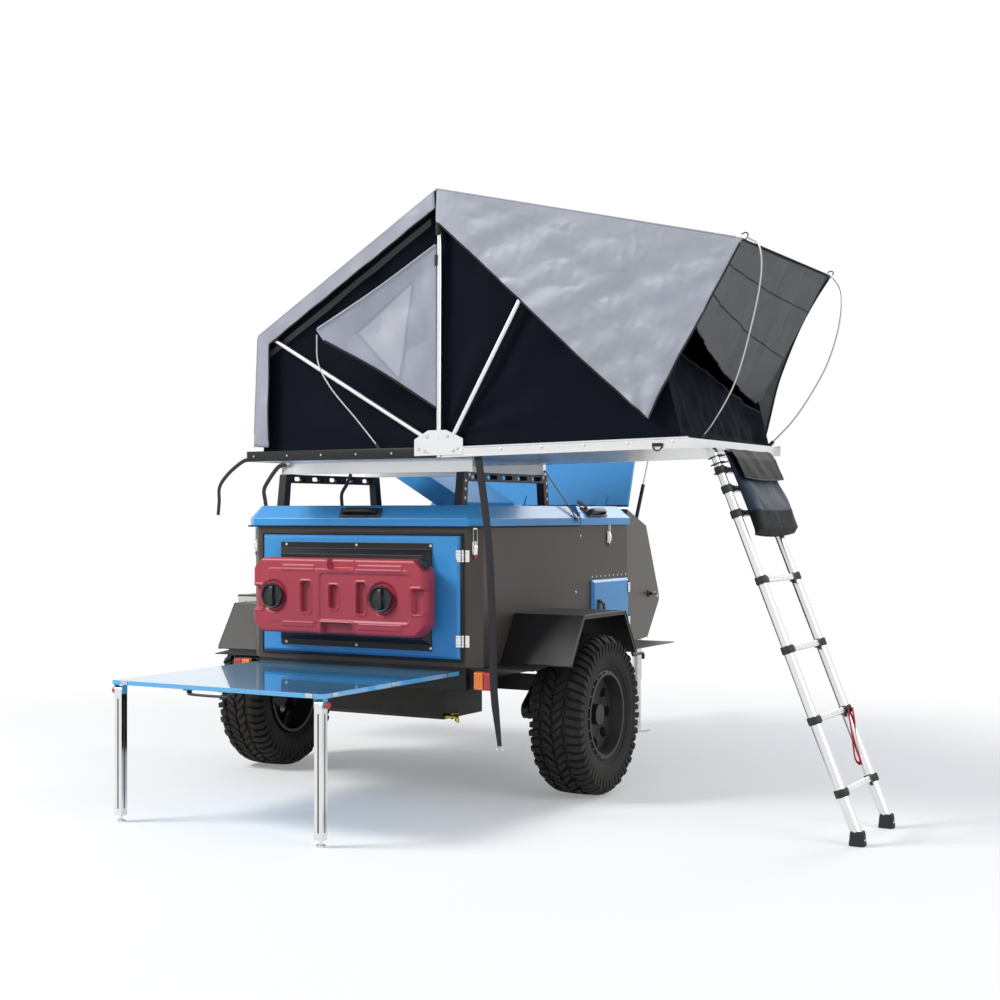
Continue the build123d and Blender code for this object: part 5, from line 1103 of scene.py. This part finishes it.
def strap(name, path, across, width, coat=None, body="trailer", thick=0.0022):
    """A flat webbing: a thin rounded rectangle swept along a path; across is the direction of its thickness."""
    return piece(name, [sweep(path, rounded(width, thick, thick * 0.45, 3), up=across)], coat or webbing_black, body,
                 angle=60)


hang = curve([(x, -0.2745, z) for x, z in ((0.812, 1.662), (0.846, 1.425), (0.871, 1.188), (0.886, 0.880),
                                           (0.891, 0.597), (0.921, 0.338))], 120)
hang[:, 1] += 0.004 * np.sin(np.linspace(0, 9, 120)) * np.linspace(0, 1, 120)
size = np.interp(np.linspace(0, 1, 120), [0, 0.86, 1], [1, 1, 0.55])
tail = sweep(hang, rounded(0.038, 0.0022, 0.001, 3), up=(0, 1, 0), size=size)
made = piece("strap_rear_web", [tail], webbing_black, "trailer", angle=60)
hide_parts("strap_rear")
turn = np.linspace(0, 2 * pi, 40, endpoint=False)
oval = np.stack([0.921 + 0.016 * np.cos(turn), np.full(40, -0.2745), 0.330 + 0.012 * np.sin(turn)], -1)
piece("strap_ring", [sweep(oval, circle(0.0022, 8), up=(0, 1, 0), loop=True)], chrome, "trailer")
slant = curve([(0.553, 0.985, 1.628), (0.600, 1.015, 1.545), (0.652, 1.055, 1.450), (0.700, 1.090, 1.352)], 50)
made = piece("strap_side_web", [sweep(slant, rounded(0.024, 0.0022, 0.001, 3), up=(0.85, 0.1, 0.5))], webbing_black,
             "trailer")
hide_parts("strap_side")
print("rods and straps done")

# %% [markdown]
# ## The telescoping ladder
# Each rail is a nest of tubes that grow towards the foot, so its radius steps at every collar. A rail is one lathe
# along the ladder's slope. Rungs are flat-fronted tubes with black moulded collars that grip the rails, each with a
# small release clip, and the feet are rubber shoes.

# %% Ladder
LAD_TOP, LAD_FOOT = np.array([1.806, 0, 1.676]), np.array([2.452, 0, 0.004])
LAD_LEN = np.linalg.norm(LAD_FOOT - LAD_TOP)
down = (LAD_FOOT - LAD_TOP) / LAD_LEN
out = np.array([-down[2], 0, down[0]])
RUNGS = (0.05, 0.10, 0.165, 0.338, 0.516, 0.694, 0.873)
stops = [0.0, *RUNGS, 1 - 0.010 / LAD_LEN]  # the last tube ends inside its shoe, clear of the ground
radii = np.linspace(0.017, 0.025, len(stops) - 1)
RAILS_Y = (0.054, 0.534)
metal, black, clips = [], [], []
for y in RAILS_Y:
    foot = np.array([0, y, 0])
    prof = [(-0.006, 0), (-0.006, 0.012), (0.0, radii[0])]
    for a, b, r in zip(stops[:-1], stops[1:], radii):
        prof += [(a * LAD_LEN + 0.002, r), (b * LAD_LEN - 0.002, r)]
    prof += [(LAD_LEN - 0.022, radii[-1] * 0.8), (LAD_LEN - 0.022, 0)]
    metal.append(lathe(prof, LAD_TOP + foot, down, 32))
    for k, t in enumerate(RUNGS):
        r = radii[k + 1]
        mid = LAD_TOP + foot + down * t * LAD_LEN
        black.append(lathe([(-0.016, r - 0.001), (-0.016, r + 0.004), (-0.012, r + 0.0055), (0.014, r + 0.0055),
                            (0.018, r + 0.004), (0.018, r - 0.001)],
                           mid, down, 32, loop=True))
        inward = 1 if y < 0.3 else -1
        arm = np.linspace(mid + (0, inward * (r - 0.004), 0), mid + (0, inward * 0.062, 0), 6)
        black.append(sweep(arm, rounded(0.033, 0.030, 0.007), up=out, size=[1.1, 1.08, 1.04, 1.02, 1, 0.98]))
        clips.append(sweep(np.array([mid + down * 0.018 + (0, inward * 0.030, 0),
                                     mid + down * 0.030 + (0, inward * 0.030, 0)]),
                           rounded(0.016, 0.012, 0.003), up=out))
    cap = LAD_TOP + foot
    black.append(lathe([(-0.010, 0), (-0.010, 0.017), (-0.007, 0.0195), (0.010, 0.0195), (0.012, 0.0175), (0.012, 0)],
                       cap, down, 28))
rungs = []
for k, t in enumerate(RUNGS):
    mid = LAD_TOP + down * t * LAD_LEN
    bar = np.linspace(mid + (0, 0.105, 0), mid + (0, 0.483, 0), 12)
    rungs.append(sweep(bar, rounded(0.028, 0.026, 0.006), up=out))
    for dz in (-0.008, 0.0, 0.008):
        rungs.append(sweep(np.linspace(mid + (0, 0.112, 0) + out * 0.0132 + down * dz,
                                       mid + (0, 0.476, 0) + out * 0.0132 + down * dz, 3),
                           rounded(0.0035, 0.0016, 0.0006), up=out))
feet = []
for y in RAILS_Y:
    v = np.linspace(0, 1, 14)
    flare = np.interp(v, [0, 0.12, 0.7, 0.86, 1], [1.02, 1.04, 0.93, 0.90, 0.82])
    centre = np.stack([np.full(14, 2.4375), np.full(14, y), 0.0005 + 0.062 * v], -1)
    groove = 1 - 0.03 * (np.sin(v * 40) > 0.2) * (v < 0.6)
    feet.append(sweep(centre, rounded(0.058, 0.064, 0.014, 5), up=(1, 0, 0), size=flare * groove))
ladder = piece("ladder_rails", metal, rail_aluminium, "steps", angle=30)
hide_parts("ladder")
piece("ladder_rungs", rungs, rail_aluminium, "steps", angle=30)
piece("ladder_collars", black, black_plastic, "steps", angle=35)
piece("ladder_clips", clips, black_plastic, "steps")
piece("ladder_feet", feet, rubber_seal, "steps", angle=40)
spot = LAD_TOP + down * 0.694 * LAD_LEN
loop_line = curve([spot + (0, 0.500, 0) + out * 0.024, spot + (0.012, 0.502, -0.10) + out * 0.026,
                   spot + (0.030, 0.508, -0.22) + out * 0.022,
                   spot + (0.052, 0.516, -0.235) + out * 0.020, spot + (0.040, 0.522, -0.13) + out * 0.018,
                   spot + (0.010, 0.524, 0.004) + out * 0.026], 60)
strap("ladder_red_strap", loop_line, out, 0.022, webbing_red, "steps")
print("ladder done")

# %% [markdown]
# ## Shoe bag
# The bag is a loft: at each height down the ladder its section is a rounded rectangle that grows and sags, width
# w(s) and depth d(s), with the heavy bottom hanging lowest in the middle. A flap lies over the mouth and straps loop
# over the rail. The cloth puckers below its upper edge, where the weight pulls.

# %% Loft of the bag
bag_zero = np.array([LAD_TOP[0], 0.090, LAD_TOP[2]]) + out * 0.0275 + down * 0.006
rows, cols = 90, 120
s, a = np.meshgrid(np.linspace(0, 1, rows), np.linspace(0, 2 * pi, cols, endpoint=False), indexing="ij")
c, d = np.cos(a), np.sin(a)
side = np.sign(c) * np.abs(c) ** 0.30
front = np.sign(d) * np.abs(d) ** 0.55
half = 0.280 * (1 - 0.035 * np.sin(pi * s) - 0.05 * (1 - s) ** 3)
deep = np.interp(s, [0, 0.08, 0.35, 0.75, 0.95, 1], [0.012, 0.022, 0.036, 0.056, 0.048, 0.016])
across = 0.280 + half * side
level = 0.402 * s + 0.012 * s * np.sin(pi * across / 0.56)
depth = deep * (front + 1) / 2
p = bag_zero + across[..., None] * np.array([0, 1.0, 0]) + level[..., None] * down + depth[..., None] * out
folds = (0.004 * crease(p * (1, 1.4, 0.8), 51, 0.20) + 0.0035 * ripple(p, 52, 0.12)
         + 0.004 * np.sin(across * 60) * np.exp(-s * 7))
p = p + (folds * (front > 0) * np.sin(pi * s.clip(0.02, 0.98)))[..., None] * out
kinds = np.repeat((np.linspace(0, 1, rows)[:-1] > 0.74).astype(int), cols)
points, faces = surface(p, close_v=True)
top, bottom = p[0].mean(0), p[-1].mean(0)
fan = [np.stack([np.full(cols, rows * cols + k), r, np.roll(r, -1)], -1) for k,
       r in ((0, np.arange(cols)), (1, np.arange(cols) + cols * (rows - 1)))]
points = np.concatenate([points, [top, bottom]])


def bag_piece(name, points, quads, fans, kinds, coats):
    """The bag's shell: quads round it and a fan of triangles at each end."""
    mesh = bpy.data.meshes.new(name)
    mesh.from_pydata((points + SHIFT).tolist(), [], quads.tolist() + np.concatenate(fans).tolist())
    mesh.polygons.foreach_set("material_index", [*kinds, *[0] * len(fans[0]), *[1] * len(fans[1])])
    mesh.polygons.foreach_set("use_smooth", np.ones(len(mesh.polygons), bool))
    bm = bmesh.new()
    bm.from_mesh(mesh)
    bmesh.ops.recalc_face_normals(bm, faces=bm.faces)
    bm.to_mesh(mesh)
    bm.free()
    layer = mesh.uv_layers.new(name="cloth")
    corner = np.empty(len(mesh.loops), int)
    mesh.loops.foreach_get("vertex_index", corner)
    uv = np.stack([points[:, 1], points[:, 2]], -1)
    layer.data.foreach_set("uv", uv[corner].astype(np.float32).ravel())
    obj = show(name, mesh)
    for coat in coats:
        mesh.materials.append(coat)
    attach(obj, "steps")
    return obj


bag = bag_piece("shoe_bag_cloth", points, faces, fan, kinds, [bag_blue, bag_black])
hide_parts("shoe_bag")
width, tall = np.linspace(-0.004, 0.564, 90), np.linspace(0, 1, 40)
w, t = np.meshgrid(width, tall)
edge_drop = 0.150 + 0.010 * np.sin(pi * (w + 0.004) / 0.568)
lift = (np.interp(t * 0.40, [0, 0.03, 0.14, 0.35], [0.016, 0.030, 0.044, 0.050]) + 0.004
        + 0.0025 * ripple(np.stack([w, t * 0.15, 0 * t], -1), 61, 0.22))
lid = bag_zero + w[..., None] * np.array([0, 1.0, 0]) + (edge_drop * t)[..., None] * down + lift[..., None] * out
cloth("shoe_bag_flap", lid, bag_black, "steps")
trim("shoe_bag_binding", [lid[-1][1:-1]], 0.003, piping_black, "steps")
loops, ring_r = [], 0.0235
for q in (0.02, 0.10, 0.20):
    mid = LAD_TOP + (0, 0.054, 0) + down * (q * LAD_LEN / 4.5 + 0.02)
    turn = np.linspace(-0.4, 1.6 * pi, 40)
    path = mid + np.outer(np.cos(turn), (0, ring_r, 0)) + np.outer(np.sin(turn), out * ring_r)
    path = np.concatenate([(mid + (0, 0.060, 0) + out * 0.030)[None], path[2:-2],
                           (mid + (0, 0.050, 0) + out * 0.036)[None]])
    loops.append(sweep(curve(path, 90), rounded(0.018, 0.0022, 0.001, 3), up=down))
piece("shoe_bag_loops", loops, webbing_black, "steps", angle=60)
print("bag done")

# %% [markdown]
# ## Platform fittings
# The left half of the platform has a black rolled rim, the right half an aluminium edge profile with rivets. A
# D-ring, hooks at the eave, bolts on the hinge plate and a sleeve round the centre pole complete it.

# %% Rims and rings
rim_path = [(0.60, -0.289, 1.683), (-0.470, -0.289, 1.683), (-0.483, -0.276, 1.683), (-0.483, 0.960, 1.683),
            (-0.470, 0.974, 1.683), (0.60, 0.974, 1.683)]
black_rim = sweep(np.array(rim_path), rounded(0.006, 0.050, 0.003), up=(0, 0, 1))
piece("platform_rim_left", [black_rim], black_paint, "trailer", angle=50)
tilt = radians(0.99)
along = np.array([cos(tilt), 0, sin(tilt)])
start = np.array([0.630, 0, 1.683])
for name, y, s in (("near", -0.289, -1), ("far", 0.974, 1)):
    path = start + (0, y, 0) + np.outer(np.linspace(0, 1.190, 3), along)
    outline = [(0.003, 0.024), (0.003, 0.018), (0.0005, 0.016), (0.0005, -0.014), (0.003, -0.017), (0.003, -0.024),
               (-0.002, -0.024), (-0.002, 0.024)]
    outline = np.array(outline) * (-s, 1)
    piece(f"platform_edge_{name}", [sweep(path, outline, up=(0, 0, 1))], rail_aluminium, "trailer",
          angle=30)
rivets = []
for x in np.linspace(0.10, 1.12, 6):
    q = start + x * along + (0, -0.290, 0.004)
    rivets += round_screw(q, (0, -1, 0), 0.006, 0.003)
for x in np.linspace(-0.43, 0.56, 6):
    rivets += round_screw((x, -0.292, 1.683), (0, -1, 0), 0.005, 0.003)
piece("platform_rivets", rivets, zinc, "trailer")
ring_at = np.array([1.684, -0.297, 1.689])
turn = np.linspace(-0.15 * pi, 1.15 * pi, 40)
dee = ring_at + np.stack([0.020 * np.cos(turn), np.zeros(40), -0.020 * np.sin(turn)], -1)
piece("platform_d_ring", [sweep(dee, circle(0.003, 8), up=(0, 1, 0)),
                          sweep(np.array([ring_at + (-0.022, 0, 0.006), ring_at + (0.022, 0, 0.006)]),
                                rounded(0.010, 0.014, 0.003), up=(0, 0, 1))],
      black_paint, "trailer", angle=50)
bolts = []
for x, z in ((0.510, 1.700), (0.555, 1.757), (0.660, 1.757), (0.715, 1.700), (0.540, 1.690), (0.690, 1.690)):
    bolts += hex_head((x, -0.2925, z), (0, -1, 0), 0.0065, 0.006)
piece("hinge_plate_bolts", bolts, zinc, "trailer", angle=25)
sleeve = lathe([(0, 0.0125), (0, 0.0150), (0.006, 0.0158), (0.16, 0.0158), (0.17, 0.0150), (0.17, 0.0125)],
               (0.607, -0.274, 2.690), (0, 0, 1), 28, loop=True)
tape = lathe([(0, 0.0125), (0, 0.0145), (0.05, 0.0145), (0.05, 0.0125)], (0.600, -0.274, 2.55), (0.02, 0, 1), 28,
             loop=True)
piece("centre_pole_sleeve", [sleeve, tape], webbing_black, "trailer")
hooks = []
for base_point in ((2.064, -0.285, 2.548), (2.066, 0.962, 2.540)):
    b = np.array(base_point)
    hook_line = curve([b + (-0.012, 0, -0.012), b + (0.006, 0, -0.004), b + (0.014, 0, 0.014), b + (0.002, 0, 0.022),
                       b + (-0.014, 0, 0.016)], 30)
    hooks.append(sweep(hook_line, circle(0.0028, 8), up=(0, 1, 0)))
piece("eave_hooks", hooks, black_plastic, "trailer")
print("platform fittings done")

# %% [markdown]
# ## Hanging straps
# Flat webbing hangs where it was let go. Each strap is one thin rounded rectangle carried along a smooth line. The
# loop on the right side has a small wire buckle below it.

# %% Hanging straps on the left and the loose loop by the side strap
lines = {
    "strap_left_near": ([(-0.455, -0.290, 1.668), (-0.499, -0.294, 1.657), (-0.580, -0.298, 1.600),
                         (-0.635, -0.298, 1.534), (-0.640, -0.296, 1.460), (-0.648, -0.294, 1.392)], 0.020),
    "strap_left_rear": ([(-0.500, 0.10, 1.655), (-0.552, 0.10, 1.640), (-0.610, 0.10, 1.575), (-0.641, 0.10, 1.523),
                         (-0.634, 0.10, 1.470), (-0.628, 0.10, 1.434)], 0.024),
    "strap_middle": ([(-0.105, 0.10, 1.600), (-0.129, 0.10, 1.549), (-0.160, 0.10, 1.500), (-0.159, 0.10, 1.440)],
                     0.020),
}
for name, (points, wide) in lines.items():
    strap(name, curve(points, 60), (0, 1, 0), wide)
loop_path = curve([(0.692, 1.095, 1.462), (0.705, 1.150, 1.445), (0.704, 1.190, 1.432), (0.700, 1.165, 1.420),
                   (0.698, 1.110, 1.428)], 40)
strap("strap_side_loop", loop_path, (1, 0.0, 0.2), 0.022)
buckle = sweep(np.array([(0.6975, 1.080, 1.405), (0.6975, 1.112, 1.405), (0.6975, 1.112, 1.372),
                         (0.6975, 1.080, 1.372)]), circle(0.0022, 8), up=(1, 0, 0), loop=True)
piece("strap_side_buckle", [buckle], black_paint, "trailer", angle=50)
print("straps done")

# %% [markdown]
# ## Hinges
# Butt hinges are two thin leaves and a barrel cut in knuckles. Their pin axes are the same as the joints' axes, so
# nothing tears when a door opens.

# %% Hinges


def butt_hinge(name, pin, z, leaf_dir, out, body, fixed_dir=None, long=0.056):
    """Barrel with four grooves round the pin and a leaf with screws on the moving side; the fixed leaf stays."""
    pin, leaf_dir, out = np.array([*pin, z]), unit(leaf_dir), unit(out)
    prof = [(-long / 2, 0), (-long / 2, 0.0062)]
    for k in range(1, 4):
        q = -long / 2 + k * long / 4
        prof += [(q - 0.0008, 0.0062), (q - 0.0006, 0.0054), (q + 0.0006, 0.0054), (q + 0.0008, 0.0062)]
    prof += [(long / 2, 0.0062), (long / 2, 0)]
    parts = [lathe(prof, pin, (0, 0, 1), 20)]
    mid = pin + leaf_dir * 0.019 + out * 0.0085
    parts.append(sweep(mid + np.outer([-long / 2, long / 2], (0, 0, 1)), rounded(0.026, 0.0022, 0.001, 3), up=out))
    for dz in (-0.017, 0.017):
        for q in (0.013, 0.026):
            parts += round_screw(pin + leaf_dir * q + out * 0.0095 + (0, 0, dz), out, 0.0038, 0.0022)
    piece(name, parts, chrome, body, angle=35)
    if fixed_dir is not None:
        base = pin + unit(fixed_dir) * 0.020 - out * 0.0085
        leaf = [sweep(base + np.outer([-long / 2, long / 2], (0, 0, 1)), rounded(0.024, 0.0022, 0.001, 3), up=out)]
        for dz in (-0.017, 0.017):
            leaf += round_screw(base + out * 0.001 + (0, 0, dz), out, 0.0038, 0.0022)
        piece(name + "_fixed", leaf, chrome, "trailer", angle=35)


for k, z in enumerate((0.788, 1.196)):
    butt_hinge(f"door_hinge_{k + 1}", (0.592, -0.012), z, (-1, 0, 0), (0, -1, 0), "back_door", (1, 0, 0))
for k, z in enumerate((0.790, 0.982)):
    butt_hinge(f"hatch_hinge_{k + 1}", (0.680, 1.832), z, (0, -1, 0), (1, 0, 0), "side_flap")
print("hinges done")

# %% [markdown]
# ## Fittings of the table
# The table has a black grip under its near edge and small plates along its near and right edges. Each leg gets a
# dark groove in all four faces, a round foot on a stem below and a red clamp knob above.

# %% Table fittings
grip = curve([(-0.140, -1.196, 0.622), (-0.135, -1.200, 0.609), (-0.110, -1.202, 0.603), (0.050, -1.202, 0.603),
              (0.075, -1.200, 0.609), (0.080, -1.196, 0.622)], 40)
tabs = [sweep(np.array([(x - 0.020, -1.194, 0.6215), (x + 0.020, -1.194, 0.6215)]), rounded(0.030, 0.004, 0.0015),
              up=(0, 0, 1)) for x in (-0.146, 0.086)]
piece("table_handle", [sweep(grip, rounded(0.024, 0.010, 0.004), up=(0, 0, 1)), *tabs], black_plastic, "trailer",
      angle=50)
plates = []
for y in (-1.11, -0.62, -0.12):
    plates.append(sweep(np.array([(0.5695, y - 0.022, 0.634), (0.5695, y + 0.022, 0.634)]),
                        rounded(0.0022, 0.017, 0.001, 3), up=(0, 0, 1)))
    for dy in (-0.013, 0.013):
        plates += round_screw((0.5706, y + dy, 0.634), (1, 0, 0), 0.003, 0.002)
for x in (-0.50, 0.50):
    plates.append(sweep(np.array([(x - 0.018, -1.2095, 0.634), (x + 0.018, -1.2095, 0.634)]),
                        rounded(0.0022, 0.016, 0.001, 3), up=(0, 0, 1)))
piece("table_plates", plates, zinc, "trailer", angle=35)
for side, s in (("left", -1), ("right", 1)):
    x = s * LEG_X
    knob = lathe([(0, 0), (0, 0.010), (0.004, 0.014), (0.016, 0.014), (0.020, 0.010), (0.020, 0)],
                 (x + s * 0.024, LEG_Y, 0.596), (s, 0, 0), 24)
    piece(f"leg_knob_{side}", [knob], red_cover, "trailer", angle=40)
    pads = lathe([(0.000, 0), (0.000, 0.021), (0.006, 0.022), (0.011, 0.016), (0.013, 0.007), (0.034, 0.007),
                  (0.034, 0)], (x, LEG_Y, 0.0), (0, 0, 1), 28)
    piece(f"leg_foot_{side}", [pads], chrome, f"leg_{side}", angle=40)
    lines = [sweep(np.array([(x + dx, LEG_Y + dy, 0.060), (x + dx, LEG_Y + dy, 0.560)]),
                   rounded(0.007 if dy else 0.0008, 0.0008 if dy else 0.007, 0.0003, 2), up=(0, 1, 0))
             for dx, dy in ((0.0207, 0), (-0.0207, 0), (0, -0.0207), (0, 0.0207))]
    piece(f"leg_slots_{side}", lines, black_plastic, f"leg_{side}", angle=60)
print("table fittings done")

# %% [markdown]
# ## Nose, underside and tray fittings
# Each nose cheek has a T-handle latch with its locking pin on a ring. Under the floor sit the tank's brass tap and
# a bent tube bracket on each side. The tray has a release lever, a black edge and rows of small black screws.

# %% Latches, taps and levers
for s, side in ((1, "right"), (-1, "left")):
    cheek_x = SIDE_X - 0.088 * (2.30 - 1.838) / (2.55 - 1.838)
    p = np.array([s * cheek_x, 2.30, 0.925])
    base = lathe([(0, 0), (0, 0.020), (0.004, 0.022), (0.010, 0.018), (0.012, 0.010), (0.034, 0.010), (0.034, 0)], p,
                 (s, 0.12, 0), 28)
    tee = sweep(np.array([p + (s * 0.036, -0.040, 0), p + (s * 0.036, 0.040, 0)]), rounded(0.012, 0.016, 0.005),
                up=(0, 0, 1))
    pin = sweep(curve([p + (s * 0.012, 0.035, 0.0), p + (s * 0.014, 0.060, 0.006), p + (s * 0.014, 0.085, -0.006)], 16),
                circle(0.003, 8), up=(0, 0, 1))
    turn = np.linspace(0, 2 * pi, 28, endpoint=False)
    ring = sweep(p + np.stack([np.full(28, s * 0.016), 0.098 + 0.012 * np.cos(turn), -0.010 + 0.012 * np.sin(turn)],
                              -1), circle(0.0016, 8), up=(1, 0, 0), loop=True)
    piece(f"nose_latch_{side}", [base, tee], black_plastic, "trailer", angle=40)
    piece(f"nose_latch_pin_{side}", [pin, ring], chrome, "trailer", angle=50)
    hanger = curve([(s * 0.700, 1.837, 0.672), (s * 0.700, 1.838, 0.600), (s * 0.700, 1.900, 0.597),
                    (s * 0.700, 1.982, 0.596), (s * 0.700, 1.994, 0.580), (s * 0.700, 1.994, 0.562)], 50)
    piece(f"step_bracket_{side}", [sweep(hanger, circle(0.009, 12), up=(1, 0, 0))], black_paint, "trailer",
          angle=50)
tap = [lathe([(0, 0), (0, 0.011), (0.012, 0.011), (0.014, 0.008), (0.030, 0.008), (0.032, 0.012), (0.044, 0.012),
              (0.044, 0)], (0.312, 0.330, 0.377), (1, 0, 0), 20),
       sweep(curve([(0.352, 0.330, 0.377), (0.372, 0.330, 0.377), (0.382, 0.330, 0.368), (0.382, 0.330, 0.350)], 16),
             circle(0.008, 12), up=(0, 1, 0)),
       sweep(np.array([(0.350, 0.330, 0.392), (0.384, 0.330, 0.396)]), rounded(0.012, 0.004, 0.0015), up=(0, 0, 1)),
       lathe([(-0.006, 0), (-0.006, 0.005), (0.012, 0.005), (0.012, 0)], (0.352, 0.330, 0.382), (0, 0, 1), 12)]
piece("tank_tap", tap, brass, "trailer", angle=40)
edge = [sweep(np.array([(-1.600, y, 0.901), (-0.62, y, 0.901)]), rounded(0.008, 0.010, 0.003), up=(0, 0, 1))
        for y in (1.2015, 1.7565)]
edge.append(sweep(np.array([(-1.5985, 1.205, 0.901), (-1.5985, 1.752, 0.901)]), rounded(0.008, 0.010, 0.003),
                  up=(0, 0, 1)))
piece("tray_edge", edge, black_plastic, "kitchen_tray", angle=50)
lever = sweep(curve([(-1.603, 1.470, 0.850), (-1.608, 1.470, 0.842), (-1.609, 1.500, 0.838), (-1.608, 1.530, 0.838)],
                    14), rounded(0.012, 0.004, 0.0015), up=(1, 0, 0))
piece("tray_lever", [lever], blue_lever, "kitchen_tray", angle=50)
dots = [s for y in np.linspace(1.26, 1.70, 6) for s in round_screw((-1.6005, y, 0.862), (-1, 0, 0), 0.005, 0.003)]
dots += [s for x in np.linspace(-1.54, -0.70, 7) for s in round_screw((x, 1.1945, 0.862), (0, -1, 0), 0.005, 0.003)]
piece("tray_dots", dots, black_plastic, "kitchen_tray", angle=50)
print("nose and tray fittings done")

# %% [markdown]
# ## Rack, mudguard and lid details
# The rack's legs carry hex bolts, the rear lid a rubber lip against the body, and the fenders an edge that is worn to
# a paler line.

# %% Seals and bolts of the roof
bolts = []
for s in (-1, 1):
    for y in (0.118, 1.022):
        for z in (1.476, 1.520, 1.560):
            dy = (1.603 - z) * 0.10 * (-1 if y < 0.5 else 1)
            bolts += hex_head((s * 0.5415, y + dy, z), (s, 0, 0), 0.006, 0.004)
    for y in (0.150, 0.985):
        bolts += hex_head((s * 0.5415, y, 1.590), (s, 0, 0), 0.007, 0.005)
piece("rack_bolts", bolts, zinc, "trailer", angle=25)
lip = np.array([(-0.672, 1.148, 1.3355), (-0.672, 0.004, 1.3355), (-0.640, -0.010, 1.3355), (0.640, -0.010, 1.3355),
                (0.672, 0.004, 1.3355), (0.672, 1.148, 1.3355)])
piece("lid_seal", [sweep(lip, circle(0.0045, 8), up=(0, 0, 1))], rubber_seal, "trailer", angle=60)
worn = finish("worn_edge", (0.09, 0.085, 0.08), rough=0.45, metal=0.4, spread=0.4, patch=30, grain=300)
for s, side in ((-1, "left"), (1, "right")):
    points = np.array([(s * 1.0405, y, z) for y,
                       z in ((0.242, 0.6805), (0.392, 0.9055), (0.908, 0.9055), (1.056, 0.6945))])
    dense = np.concatenate([np.linspace(a, b, 8)[:-1] for a, b in zip(points[:-1], points[1:])] + [points[-1:]])
    piece(f"fender_edge_{side}", [sweep(dense, circle(0.0028, 8), up=(1, 0, 0))], worn, "trailer",
          angle=60)
print("roof seals and fender edges done")

# %% [markdown]
# ## Sizes
# The dressed trailer must keep the size of its frame, so both boxes are printed side by side.

# %% Measure and finish
size = {"cad": np.array(cad_box).tolist(), "scene": np.array(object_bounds()).tolist()}
print("size", size)
